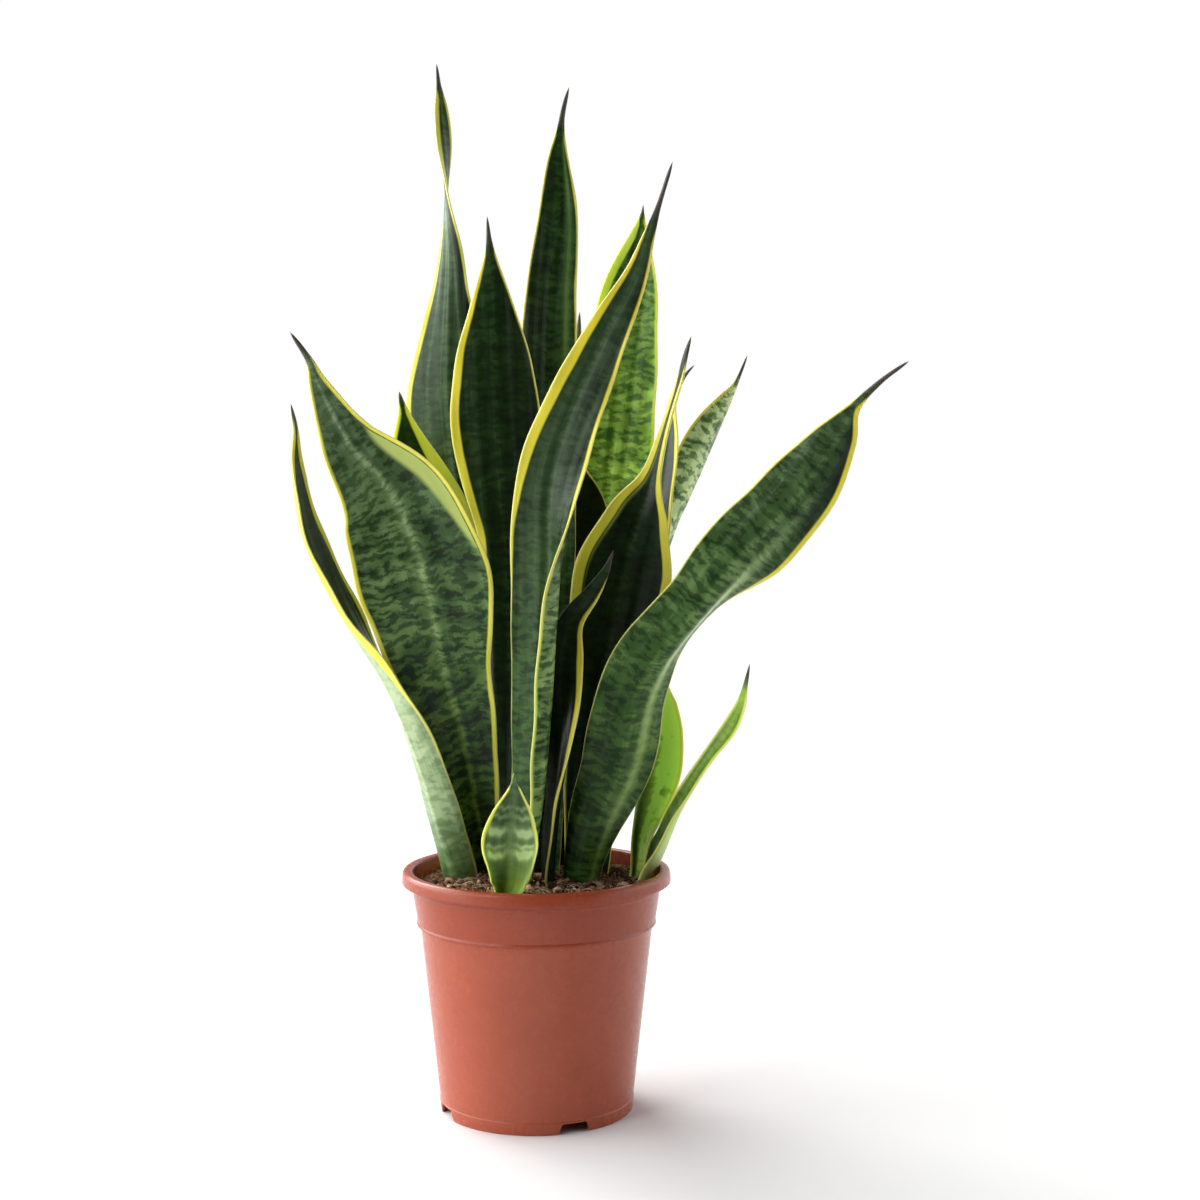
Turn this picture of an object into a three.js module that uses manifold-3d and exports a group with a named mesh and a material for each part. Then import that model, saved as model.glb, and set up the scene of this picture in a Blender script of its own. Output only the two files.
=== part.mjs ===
// A potted snake plant: a clump of sword-shaped leaves that stand in potting soil, in a plain
// nursery pot of terracotta-coloured plastic.
// Millimetres, +Z up. The origin is the centre of the circle that the pot stands on, and -Y is
// the front. Every leaf is its own solid, and so are the soil and the pot.
import * as THREE from "three";
import { mergeVertices } from "three/addons/utils/BufferGeometryUtils.js";
import Module from "manifold-3d";

const wasm = await Module();
wasm.setup();

// ---------------------------------------------------------------- driving dimensions
const CLEARANCE = 0.3; // air between two pieces that touch

// The pot, a moulded shell with a downturned lip and a collar
const POT_HEIGHT = 153;
const RIM_RADIUS = 85;
const COLLAR_TOP_RADIUS = 80; // outside of the collar, at the height of the rim
const COLLAR_FOOT_RADIUS = 75.3;
const BODY_TOP_RADIUS = 73.6; // outside of the body, just under the collar
const BASE_RADIUS = 61;
const POT_WALL = 1.6;
const LIP_DEPTH = 8; // how far the downturned lip hangs
const COLLAR_BOTTOM = 119; // height of the step under the collar
const POT_SIDES = 48;

// Its floor: a flat disc that it stands on, and a raised channel between the disc and the foot
const DISC_RADIUS = 38;
const CHANNEL_HEIGHT = 7; // underside of the channel, above the ground
const CHANNEL_SLOPE = 3; // how far out the channel's inner flank leans
const FLOOR_THICKNESS = 1.8;

// The openings in the foot of the pot
const NOTCH_COUNT = 4;
const NOTCH_WIDTH = 17; // at the top of the notch
const NOTCH_SPLAY = 2.5; // how much wider each side is at the ground
const NOTCH_HEIGHT = 6.6;
const NOTCH_TURN = 22; // degrees from the front to the first notch
const DRAIN_COUNT = 8;
const DRAIN_RADIUS = 4.5;
const DRAIN_CIRCLE = 50;

// The soil
const SOIL_LEVEL = 143.5;
const SOIL_RELIEF = 1.6; // height of its lumps
const SOIL_RINGS = 7;

// A leaf blade: thickness of its middle and its margins, at the foot and near the tip
const MIDDLE_THICKNESS = { foot: 4.6, tip: 1.5 };
const MARGIN_THICKNESS = { foot: 1.3, tip: 0.9 };
const LEAF_FOOT = 112; // height of every leaf's foot, in its hole in the soil
const STEPS_PER_STATION = 2;
const WIDE_STRIPS = 6; // strips across a wide blade
const NARROW_STRIPS = 4;

const LEAF_GREEN = 0x2f5a33;
const YOUNG_GREEN = 0x6f9b3a;
const TERRACOTTA = 0xb4583c;
const SOIL_BROWN = 0x4a3528;

// ---------------------------------------------------------------- the leaves
// Each leaf is a list of stations from its foot to its tip. A station holds
//   x, y, z      a point of the midrib,
//   half width   measured along the curved blade, from the midrib to a margin,
//   facing       degrees from the front to the side that the upper face looks at, + to the right,
//   left curl    degrees that the left half curls up by its margin, and the same for the right.
const LEAVES = {
  leaf_far_left: [
    [-49, 9, LEAF_FOOT, 10.5, 150, 60, 60],
    [-52, 8, 145, 14, 148, 50, 50],
    [-61, 4, 178, 17, 132, 44, 40],
    [-73.5, 0, 222, 19.5, 118, 44, 28],
    [-93, 0, 270, 19.5, 97, 38, 20],
    [-120.5, 2, 314, 20.5, 76, 50, 20],
    [-143, 5, 362, 14.5, 62, 60, 22],
    [-151, 8, 405, 7.2, 60, 55, 25],
    [-151, 9, 430, 2.5, 60, 30, 15],
    [-153.7, 10, 446, 0.8, 60, 0, 0],
  ],
  leaf_broad_left: [
    [-29, 30, LEAF_FOOT, 9, 8, 80, 80],
    [-32, 28, 150, 11.5, 8, 70, 70],
    [-38, 22, 185, 15, 8, 50, 50],
    [-46, 12, 232, 22, 6, 35, 38],
    [-60, -1, 285, 32.5, 4, 25, 28],
    [-68.5, -16, 335.5, 42, 0, 18, 25],
    [-85, -26, 385, 36, 0, 15, 45],
    [-113, -32, 420.5, 18, 0, 15, 30],
    [-130, -36, 453.5, 6.5, 0, 12, 15],
    [-136.5, -37, 470, 2, 0, 8, 8],
    [-147.9, -38, 487, 0.8, 0, 0, 0],
  ],
  leaf_young_left: [
    [-27, 41, LEAF_FOOT, 9, 10, 70, 70],
    [-29, 42, 150, 11, 10, 60, 60],
    [-35.5, 46, 215.5, 17, 12, 40, 40],
    [-47, 51, 285.5, 23.5, 14, 25, 25],
    [-59.5, 52, 345.5, 26, 15, 20, 20],
    [-72.5, 51, 387, 23.5, 15, 15, 15],
    [-82, 50, 421, 12, 15, 15, 15],
    [-86, 49, 443, 3.2, 15, 10, 10],
    [-88.6, 48, 456, 0.8, 15, 0, 0],
  ],
  leaf_tall_twisted: [
    [-14, 51, LEAF_FOOT, 9, 180, 75, 75],
    [-17, 53, 150, 11.5, 180, 65, 65],
    [-28.5, 61, 227.5, 18, 180, 40, 40],
    [-42.5, 69, 318.5, 25.5, 180, 28, 28],
    [-54, 74, 400, 30, 177, 24, 24],
    [-58.5, 77, 456.5, 28.5, 172, 20, 20],
    [-58, 80, 503, 18, 165, 16, 16],
    [-57, 83, 549.5, 9.5, 145, 12, 12],
    [-59, 85, 588, 6.5, 95, 10, 10],
    [-60.5, 87, 619.5, 6, 40, 12, 12],
    [-62.5, 88, 644.5, 4.3, 20, 15, 15],
    [-64, 89, 660, 1.3, 20, 10, 10],
    [-65.3, 90, 674, 0.8, 20, 0, 0],
  ],
  leaf_centre_left: [
    [-10, 19, LEAF_FOOT, 8, 180, 70, 70],
    [-11, 19, 150, 10, 180, 60, 60],
    [-14, 18, 215.5, 12.5, 180, 45, 45],
    [-16, 16, 290, 14.5, 182, 40, 40],
    [-19, 13, 360, 18, 184, 32, 32],
    [-24, 9, 420, 28, 186, 18, 18],
    [-26, 5, 464.5, 25.5, 187, 14, 14],
    [-27, 1, 504, 14.5, 188, 12, 12],
    [-28, -2, 535.5, 4, 188, 10, 10],
    [-29, -3, 549, 1.2, 188, 5, 5],
    [-29.9, -4, 561, 0.8, 188, 0, 0],
  ],
  leaf_centre_front: [
    [-8, -14, LEAF_FOOT, 10, -42, 70, 90],
    [-7, -15, 150, 12.5, -42, 55, 110],
    [0, -18, 200, 17.5, -40, 32, 135],
    [4.5, -23, 258.5, 22.5, -38, 22, 142],
    [7, -29, 312.5, 24.5, -34, 18, 138],
    [8, -34, 352.5, 24.5, -28, 20, 108],
    [9, -40, 392, 22, -18, 20, 45],
    [18.5, -46, 429.5, 19.5, -10, 20, 25],
    [39.5, -53, 478.5, 14, -5, 20, 20],
    [58.5, -58, 517, 7.5, 0, 15, 15],
    [66.5, -61, 540.5, 3.6, 0, 10, 10],
    [73, -63, 560.5, 1.2, 0, 0, 0],
    [80.7, -66, 585, 0.8, 0, 0, 0],
  ],
  leaf_tall_centre: [
    [6, 29, LEAF_FOOT, 8.5, 0, 75, 75],
    [6, 30, 150, 10.5, 2, 65, 65],
    [5.5, 34, 239.5, 16.5, 5, 44, 44],
    [5, 39, 329.5, 20, 8, 36, 36],
    [6, 43, 410, 20.5, 10, 32, 32],
    [7, 46, 471, 19.5, 11, 30, 30],
    [9.5, 50, 521.5, 17, 12, 28, 28],
    [14, 53, 567.5, 13.5, 12, 26, 26],
    [14.5, 56, 603.5, 7.5, 12, 22, 22],
    [16.5, 58, 626.5, 2.2, 12, 12, 12],
    [18.5, 59, 639.5, 1.2, 12, 0, 0],
    [21.9, 60, 653, 0.8, 12, 0, 0],
  ],
  leaf_bright_back: [
    [26, 57, LEAF_FOOT, 8, 0, 75, 75],
    [28, 60, 150, 10, 0, 65, 65],
    [33, 68, 229, 18, -4, 35, 35],
    [39.5, 78, 309, 25.5, -8, 22, 22],
    [47, 86, 379.5, 27.5, -10, 18, 18],
    [54, 92, 441, 27, -12, 15, 15],
    [59.5, 97, 492.5, 23.5, -12, 15, 15],
    [65, 101, 534, 17, -12, 12, 12],
    [70, 103, 563.5, 6.5, -12, 10, 10],
    [72, 104, 576, 1.6, -12, 5, 5],
    [72.8, 105, 584.5, 0.8, -12, 0, 0],
  ],
  leaf_slender_back: [
    [0, 60, LEAF_FOOT, 7, 0, 65, 65],
    [1, 64, 150, 8.5, 0, 60, 60],
    [8, 81, 239, 14, -8, 30, 30],
    [16, 98, 328.5, 17, -14, 20, 20],
    [23.5, 108, 400, 16.5, -18, 15, 15],
    [27, 115, 452, 11.5, -20, 12, 12],
    [29, 119, 485, 5, -20, 10, 10],
    [29.5, 120, 499.5, 1.6, -20, 5, 5],
    [30.1, 121, 513.5, 0.8, -20, 0, 0],
  ],
  leaf_folded_right: [
    [25, 20, LEAF_FOOT, 9, 5, 75, 75],
    [27, 20, 150, 11, 3, 65, 65],
    [33, 20, 215, 17, 0, 45, 45],
    [44, 18, 280.5, 25, -3, 30, 30],
    [55, 15, 335.5, 31.5, -5, 20, 22],
    [65.5, 12, 374, 21.5, -12, 25, 35],
    [74, 9, 399, 9.5, -35, 35, 50],
    [82.5, 6, 431.5, 4.5, -55, 30, 50],
    [90.5, 4, 459.5, 3, -50, 25, 40],
    [94, 3, 476, 1.5, -40, 10, 10],
    [97.4, 2, 488, 0.8, -30, 0, 0],
  ],
  leaf_narrow_right: [
    [40, 30, LEAF_FOOT, 7, -30, 70, 70],
    [42, 31, 150, 9, -30, 60, 60],
    [50, 35, 220, 13, -35, 40, 40],
    [61, 39, 290, 17, -40, 30, 30],
    [72.5, 42, 345, 17.5, -45, 25, 25],
    [82, 44, 390, 15, -50, 25, 28],
    [88, 45, 425.5, 10, -55, 25, 30],
    [89.5, 46, 448.5, 5.5, -65, 20, 25],
    [95.5, 46, 464, 1.8, -65, 10, 10],
    [103.2, 46, 473, 0.8, -65, 0, 0],
  ],
  leaf_channelled_right: [
    [43, 46, LEAF_FOOT, 6.5, -100, 70, 70],
    [46, 48, 150, 8, -105, 60, 60],
    [54, 54, 219.5, 13, -112, 48, 48],
    [66.5, 62, 289.5, 17, -120, 38, 38],
    [84, 69, 358.5, 18, -125, 35, 35],
    [99, 73, 394, 18, -125, 33, 33],
    [114, 76, 427.5, 16.5, -125, 30, 30],
    [127, 78, 451, 7.5, -125, 25, 25],
    [134, 79, 463.5, 1.9, -125, 15, 15],
    [141.2, 80, 481.5, 0.8, -125, 0, 0],
  ],
  leaf_arching_right: [
    [27, -6, LEAF_FOOT, 10.5, 175, 65, 60],
    [29, -8, 150, 13.5, 178, 60, 50],
    [37, -11, 182, 18.5, 180, 50, 35],
    [52, -15, 219.5, 24.5, 182, 50, 20],
    [62, -20, 262.5, 25, 183, 68, 14],
    [73.5, -25, 286, 25, 184, 98, 10],
    [86, -29, 302.5, 24.5, 185, 115, 10],
    [102, -34, 322, 23, 185, 110, 10],
    [117, -39, 342.5, 25, 184, 60, 12],
    [131.5, -44, 359.5, 25, 182, 25, 15],
    [147.5, -49, 377, 24, 181, 20, 15],
    [165, -55, 399.5, 21, 180, 20, 15],
    [180, -61, 423.5, 13, 180, 20, 15],
    [189.5, -66, 441, 3.6, 180, 10, 10],
    [204.5, -70, 456.5, 1.2, 180, 0, 0],
    [220.2, -74, 468, 0.8, 180, 0, 0],
  ],
  leaf_front_pup: [
    [-15, -53, LEAF_FOOT, 5.5, 0, 80, 80],
    [-18.4, -55.5, 146, 7.4, 0, 75, 75],
    [-17, -57.5, 155, 12, 0, 58, 58],
    [-16, -58.5, 166, 15, 0, 46, 46],
    [-16, -61, 182.5, 18, 0, 38, 38],
    [-14.5, -64, 198, 13.5, 0, 32, 32],
    [-13.5, -66, 210.5, 5.5, 0, 22, 22],
    [-13.5, -67, 217.5, 1.6, 0, 10, 10],
    [-13.5, -68, 223.5, 0.8, 0, 0, 0],
  ],
  leaf_inner_short: [
    [9, -2, LEAF_FOOT, 8, -80, 60, 60],
    [8.5, -6, 150, 9.5, -80, 50, 50],
    [11.5, -10, 190, 11.5, -75, 40, 40],
    [15, -13, 225, 13.5, -58, 30, 35],
    [16.5, -14, 258, 14.5, -30, 22, 30],
    [17.5, -14, 288, 13, -15, 20, 28],
    [22, -15, 310, 8, -10, 20, 25],
    [34, -17, 327, 5.2, -5, 20, 20],
    [42, -18, 340, 2.7, 0, 20, 20],
    [45.5, -18, 348, 1.1, 0, 10, 10],
    [48, -18, 355, 0.8, 0, 0, 0],
  ],
  leaf_hidden_centre: [
    [13, 43, LEAF_FOOT, 8, 5, 75, 75],
    [14, 45, 150, 10, 6, 65, 65],
    [16, 49, 219.5, 17, 8, 38, 38],
    [18.5, 53, 289.5, 23, 10, 26, 26],
    [21, 56, 344.5, 25, 12, 20, 20],
    [22.5, 58, 380, 23.5, 12, 16, 16],
    [21, 59, 404, 12.5, 12, 14, 14],
    [19.5, 60, 422.5, 5, 12, 10, 10],
    [18, 61, 434.5, 1.5, 12, 5, 5],
    [17.2, 62, 448.5, 0.8, 12, 0, 0],
  ],
  leaf_right_pup_upright: [
    [59, 8, LEAF_FOOT, 4.6, -10, 75, 75],
    [64, 8.5, 146, 5.2, -10, 70, 70],
    [67.3, 11.5, 169.5, 6.8, -8, 45, 45],
    [75, 19, 192, 11.5, -8, 32, 32],
    [81, 23, 212, 13, -8, 28, 28],
    [84, 25, 233.5, 11.2, -8, 25, 25],
    [84.5, 27, 251.5, 7, -5, 18, 18],
    [85.3, 28, 259.5, 3.6, 0, 8, 8],
    [85.7, 29, 265, 0.8, 0, 0, 0],
  ],
  leaf_right_pup_leaning: [
    [65.8, 8, LEAF_FOOT, 12.5, -88, 80, 70],
    [72.8, 8, 146, 14, -88, 75, 75],
    [81, 4, 167.5, 13, -84, 22, 72],
    [88.5, -2, 188, 9, -75, 30, 58],
    [98.5, -8, 208.5, 5.8, -60, 38, 38],
    [109, -13, 226, 5, -50, 32, 32],
    [121, -17, 243, 6, -50, 28, 28],
    [127.5, -20, 257.5, 4.2, -50, 25, 25],
    [130, -22, 271, 1.6, -50, 10, 10],
    [132.3, -24, 284.5, 0.8, -50, 0, 0],
  ],
};
const NARROW_LEAVES = new Set([
  "leaf_slender_back",
  "leaf_narrow_right",
  "leaf_front_pup",
  "leaf_inner_short",
  "leaf_right_pup_upright",
  "leaf_right_pup_leaning",
]);
const YOUNG_LEAVES = new Set([
  "leaf_young_left",
  "leaf_bright_back",
  "leaf_front_pup",
  "leaf_right_pup_upright",
  "leaf_right_pup_leaning",
]);

// ---------------------------------------------------------------- solids from meshes
// A closed geometry as a manifold solid, for cutting and joining.
function solidFrom(geometry) {
  const bare = geometry.clone();
  bare.deleteAttribute("normal");
  bare.deleteAttribute("uv");
  const merged = mergeVertices(bare, 1e-4);
  return new wasm.Manifold(
    new wasm.Mesh({
      numProp: 3,
      vertProperties: new Float32Array(merged.attributes.position.array),
      triVerts: new Uint32Array(merged.index.array),
    }),
  );
}

// A manifold solid as a geometry again.
function geometryFrom(solid) {
  const mesh = solid.getMesh();
  const geometry = new THREE.BufferGeometry();
  geometry.setAttribute("position", new THREE.BufferAttribute(mesh.vertProperties, mesh.numProp));
  geometry.setIndex(new THREE.BufferAttribute(mesh.triVerts, 1));
  geometry.computeVertexNormals();
  return geometry;
}

// ---------------------------------------------------------------- a leaf blade
const mix = THREE.MathUtils.lerp;
const radians = THREE.MathUtils.degToRad;

// The station at a share of the way from station i to the next, on a smooth Catmull-Rom curve
// through all of them. Every column is interpolated alike.
function stationAt(stations, i, share) {
  const at = (k) => stations[THREE.MathUtils.clamp(k, 0, stations.length - 1)];
  const [a, b, c, d] = [at(i - 1), at(i), at(i + 1), at(i + 2)];
  return b.map((_, n) => {
    const pull = (c[n] - a[n]) / 2;
    const push = (d[n] - b[n]) / 2;
    const rise = c[n] - b[n];
    const bend = (3 - 2 * share) * share * share;
    const leave = share * (1 - share) * (1 - share);
    const arrive = share * share * (share - 1);
    return b[n] + bend * rise + leave * pull + arrive * push;
  });
}

// The smooth stations of a leaf, with the direction of the midrib at each.
function smoothStations(stations) {
  const rows = [];
  for (let i = 0; i < stations.length - 1; i++)
    for (let k = 0; k < STEPS_PER_STATION; k++)
      rows.push(stationAt(stations, i, k / STEPS_PER_STATION));
  rows.push(stations.at(-1));
  return rows.map((row, i) => {
    const before = rows[Math.max(i - 1, 0)];
    const after = rows[Math.min(i + 1, rows.length - 1)];
    const along = new THREE.Vector3(...after).sub(new THREE.Vector3(...before)).normalize();
    return { row, along, share: i / (rows.length - 1) };
  });
}

// The two faces of the blade at one station, from the left margin to the right one. Each half of
// the section is an arc that starts square to the midrib and curls up by the given angle.
function section({ row, along, share }, strips, grow) {
  const [x, y, z, halfWidth, facing, leftCurl, rightCurl] = row;
  const midrib = new THREE.Vector3(x, y, z);
  const look = new THREE.Vector3(Math.sin(radians(facing)), -Math.cos(radians(facing)), 0);
  const up = look.addScaledVector(along, -look.dot(along)).normalize();
  const side = new THREE.Vector3().crossVectors(along, up);
  const middle = Math.min(mix(MIDDLE_THICKNESS.foot, MIDDLE_THICKNESS.tip, share), 2 * halfWidth);
  const margin = Math.min(mix(MARGIN_THICKNESS.foot, MARGIN_THICKNESS.tip, share), halfWidth * 1.3);
  const upper = [];
  const lower = [];
  for (let j = 0; j <= strips; j++) {
    const across = (2 * j) / strips - 1;
    const curl = radians(Math.max(across < 0 ? leftCurl : rightCurl, 1)) * Math.abs(across);
    const radius = ((halfWidth + grow) * Math.abs(across)) / Math.max(curl, 1e-6);
    const out = across === 0 ? 0 : Math.sign(across) * radius * Math.sin(curl);
    const lift = across === 0 ? 0 : radius * (1 - Math.cos(curl));
    const centre = midrib.clone().addScaledVector(side, out).addScaledVector(up, lift);
    const normal = up
      .clone()
      .multiplyScalar(Math.cos(curl))
      .addScaledVector(side, -Math.sign(across) * Math.sin(curl));
    const half = mix(middle, Math.max(margin, 0.7), across * across) / 2 + grow;
    upper.push(centre.clone().addScaledVector(normal, half));
    lower.push(centre.clone().addScaledVector(normal, -half));
  }
  return { upper, lower };
}

// The blade as a closed geometry. Both faces are split into triangles along the same diagonals.
// grow makes the whole blade thicker and wider, for the hole that it stands in.
function blade(stations, strips, grow = 0) {
  const sections = smoothStations(stations).map((s) => section(s, strips, grow));
  const ring = sections.map(({ upper, lower }) => [...upper, ...lower.reverse()]);
  const count = ring[0].length;
  const positions = ring.flat().flatMap((p) => [p.x, p.y, p.z]);
  const index = [];
  const last = ring.length - 1;
  for (let i = 0; i < last; i++)
    for (let j = 0; j < count; j++) {
      const next = (j + 1) % count;
      const [a, b] = [i * count + j, i * count + next];
      const [c, d] = [a + count, b + count];
      const upperFace = j < strips;
      if (upperFace) index.push(a, b, c, b, d, c);
      else index.push(a, b, d, a, d, c);
    }
  for (let j = 0; j < strips; j++) {
    const [u, v] = [j, j + 1];
    const [p, q] = [count - 1 - j, count - 2 - j];
    index.push(u, p, v, v, p, q);
    const top = last * count;
    index.push(top + u, top + v, top + p, top + v, top + q, top + p);
  }
  const geometry = new THREE.BufferGeometry();
  geometry.setAttribute("position", new THREE.Float32BufferAttribute(positions, 3));
  geometry.setIndex(index);
  geometry.computeVertexNormals();
  return geometry;
}

const stripsOf = (name) => (NARROW_LEAVES.has(name) ? NARROW_STRIPS : WIDE_STRIPS);

// ---------------------------------------------------------------- the pot
// Outside radii of the tapered body and of the collar at a height, and the inside of the wall.
const bodyRadius = (z) => mix(BASE_RADIUS, BODY_TOP_RADIUS, z / COLLAR_BOTTOM);
const collarRadius = (z) => {
  const share = (z - COLLAR_BOTTOM) / (POT_HEIGHT - COLLAR_BOTTOM);
  return mix(COLLAR_FOOT_RADIUS, COLLAR_TOP_RADIUS, share);
};
const innerRadius = (z) => (z > COLLAR_BOTTOM ? collarRadius(z) : bodyRadius(z)) - POT_WALL;
const FLOOR_TOP = CHANNEL_HEIGHT + FLOOR_THICKNESS;

// The wall's section, turned round the axis: along the underside, up the outside, over the lip
// and down the inside to the middle of the floor.
function potShell() {
  const lipBottom = POT_HEIGHT - LIP_DEPTH;
  const innerTop = innerRadius(POT_HEIGHT);
  const profile = [
    [0, 0],
    [DISC_RADIUS, 0],
    [DISC_RADIUS + CHANNEL_SLOPE, CHANNEL_HEIGHT],
    [innerRadius(CHANNEL_HEIGHT) - 0.6, CHANNEL_HEIGHT],
    [innerRadius(CHANNEL_HEIGHT), CHANNEL_HEIGHT - 0.8],
    [innerRadius(0), 0],
    [bodyRadius(0) - 0.3, 0],
    [bodyRadius(1), 0.8],
    [bodyRadius(COLLAR_BOTTOM - 1), COLLAR_BOTTOM - 1],
    [collarRadius(COLLAR_BOTTOM + 0.8), COLLAR_BOTTOM + 0.8],
    [collarRadius(lipBottom + 5), lipBottom + 5],
    [RIM_RADIUS - POT_WALL, lipBottom + 4],
    [RIM_RADIUS - POT_WALL, lipBottom],
    [RIM_RADIUS - 0.2, lipBottom],
    [RIM_RADIUS, lipBottom + 1.5],
    [RIM_RADIUS - 0.4, POT_HEIGHT - 2.2],
    [RIM_RADIUS - 1.8, POT_HEIGHT - 0.5],
    [RIM_RADIUS - 3.2, POT_HEIGHT],
    [innerTop + 1.2, POT_HEIGHT - 0.4],
    [innerTop, POT_HEIGHT - 2.4],
    [innerRadius(COLLAR_BOTTOM + 2), COLLAR_BOTTOM + 2],
    [innerRadius(COLLAR_BOTTOM - 2), COLLAR_BOTTOM - 2],
    [innerRadius(FLOOR_TOP), FLOOR_TOP],
    [DISC_RADIUS + CHANNEL_SLOPE - 1.2, FLOOR_TOP],
    [DISC_RADIUS - 1.2, FLOOR_THICKNESS],
    [0, FLOOR_THICKNESS],
  ];
  const points = profile.map(([r, z]) => new THREE.Vector2(r, z));
  return new THREE.LatheGeometry(points, POT_SIDES).rotateX(Math.PI / 2);
}

// A wedge that cuts one notch through the foot ring, splayed towards the ground.
function notchCutter(angle) {
  const top = NOTCH_WIDTH / 2;
  const bottom = top + NOTCH_SPLAY;
  const outline = new THREE.Shape([
    new THREE.Vector2(-bottom, -1),
    new THREE.Vector2(bottom, -1),
    new THREE.Vector2(top, NOTCH_HEIGHT),
    new THREE.Vector2(-top, NOTCH_HEIGHT),
  ]);
  const depth = 12;
  return new THREE.ExtrudeGeometry(outline, { depth, bevelEnabled: false })
    .rotateX(Math.PI / 2)
    .translate(0, -BASE_RADIUS + depth - 3, 0)
    .rotateZ(angle);
}

function drainCutter(angle) {
  return new THREE.CylinderGeometry(DRAIN_RADIUS, DRAIN_RADIUS, 4 * FLOOR_THICKNESS, 12)
    .rotateX(Math.PI / 2)
    .translate(DRAIN_CIRCLE * Math.sin(angle), -DRAIN_CIRCLE * Math.cos(angle), FLOOR_TOP);
}

function pot() {
  let solid = solidFrom(potShell());
  for (let i = 0; i < NOTCH_COUNT; i++) {
    const angle = radians(NOTCH_TURN) + (2 * Math.PI * i) / NOTCH_COUNT;
    solid = solid.subtract(solidFrom(notchCutter(angle)));
  }
  for (let i = 0; i < DRAIN_COUNT; i++) {
    const angle = radians(NOTCH_TURN) + (2 * Math.PI * (i + 0.5)) / DRAIN_COUNT;
    solid = solid.subtract(solidFrom(drainCutter(angle)));
  }
  return geometryFrom(solid);
}

// ---------------------------------------------------------------- the soil
// Height of the soil's top: lumps, and a slight fall to the wall. edge is 0 in the middle and 1
// at the wall.
function soilHeight(x, y, edge) {
  const along = Math.sin(x * 0.31 + 1.3 * Math.sin(y * 0.17));
  const across = Math.cos(y * 0.27 - 0.6 * Math.sin(x * 0.23));
  return SOIL_LEVEL + SOIL_RELIEF * along * across * (1 - 0.5 * edge) - 1.5 * edge * edge;
}

// The soil that fills the pot, a clearance away from its wall and floor.
function soilPlug() {
  const outline = [
    [innerRadius(COLLAR_BOTTOM + 3), COLLAR_BOTTOM + 3],
    [innerRadius(COLLAR_BOTTOM - 2), COLLAR_BOTTOM - 2],
    [innerRadius(FLOOR_TOP), FLOOR_TOP + CLEARANCE],
    [DISC_RADIUS + CHANNEL_SLOPE - 1.2, FLOOR_TOP + CLEARANCE],
    [DISC_RADIUS - 1.4, FLOOR_THICKNESS + CLEARANCE],
  ].map(([r, z]) => [r - 1.2 * CLEARANCE, z]);
  const rimRadius = innerRadius(SOIL_LEVEL - 2) - 1.2 * CLEARANCE;
  const positions = [0, 0, soilHeight(0, 0, 0)];
  const ring = (place) => {
    for (let j = 0; j < POT_SIDES; j++) {
      const angle = (2 * Math.PI * j) / POT_SIDES;
      positions.push(...place(Math.cos(angle), Math.sin(angle)));
    }
  };
  for (let i = 1; i <= SOIL_RINGS; i++)
    ring((c, s) => {
      const edge = i / SOIL_RINGS;
      const [x, y] = [edge * rimRadius * c, edge * rimRadius * s];
      return [x, y, soilHeight(x, y, edge)];
    });
  for (const [r, z] of outline) ring((c, s) => [r * c, r * s, z]);
  positions.push(0, 0, FLOOR_THICKNESS + CLEARANCE);

  const index = [];
  const rings = SOIL_RINGS + outline.length;
  const bottom = 1 + rings * POT_SIDES;
  for (let j = 0; j < POT_SIDES; j++) {
    const next = (j + 1) % POT_SIDES;
    index.push(0, 1 + j, 1 + next);
    for (let i = 0; i < rings - 1; i++) {
      const [a, b] = [1 + i * POT_SIDES + j, 1 + i * POT_SIDES + next];
      const [c, d] = [a + POT_SIDES, b + POT_SIDES];
      index.push(a, c, b, b, c, d);
    }
    index.push(bottom - POT_SIDES + next, bottom - POT_SIDES + j, bottom);
  }
  const geometry = new THREE.BufferGeometry();
  geometry.setAttribute("position", new THREE.Float32BufferAttribute(positions, 3));
  geometry.setIndex(index);
  return solidFrom(geometry);
}

// ---------------------------------------------------------------- the assembly
function mesh(name, geometry, color, roughness) {
  const made = new THREE.Mesh(
    geometry,
    new THREE.MeshStandardMaterial({ color, roughness, metalness: 0 }),
  );
  made.name = name;
  return made;
}

const plant = new THREE.Group();
plant.name = "potted_snake_plant";

const leaves = new THREE.Group();
for (const [name, stations] of Object.entries(LEAVES)) {
  const color = YOUNG_LEAVES.has(name) ? YOUNG_GREEN : LEAF_GREEN;
  leaves.add(mesh(name, blade(stations, stripsOf(name)), color, 0.4));
}
plant.add(leaves);

// Each leaf stands in a hole of its own shape, a little larger all round.
const holes = Object.entries(LEAVES)
  .map(([name, [[x, y, z, ...rest], ...others]]) => {
    const lowered = [[x, y, z - CLEARANCE, ...rest], ...others];
    return solidFrom(blade(lowered, stripsOf(name), CLEARANCE));
  })
  .reduce((all, one) => all.add(one));

plant.add(mesh("soil", geometryFrom(soilPlug().subtract(holes)), SOIL_BROWN, 1));
plant.add(mesh("pot", pot(), TERRACOTTA, 0.45));

export default plant;
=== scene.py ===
# %% [markdown]
# # A potted snake plant
# A snake plant is a clump of stiff, sword-shaped leaves that grow straight out of the soil. Each
# leaf is dark green with pale wavy cross-bands, and has a bright yellow margin on both sides.
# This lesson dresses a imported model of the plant: it builds a fine surface for every leaf, for
# the pot and for the soil, gives each one a procedural finish, and lights them like a studio
# photograph on white paper.

# %% Load the frame
from functools import partial

import bmesh
import bpy
import numpy as np
from mathutils import Matrix


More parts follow.
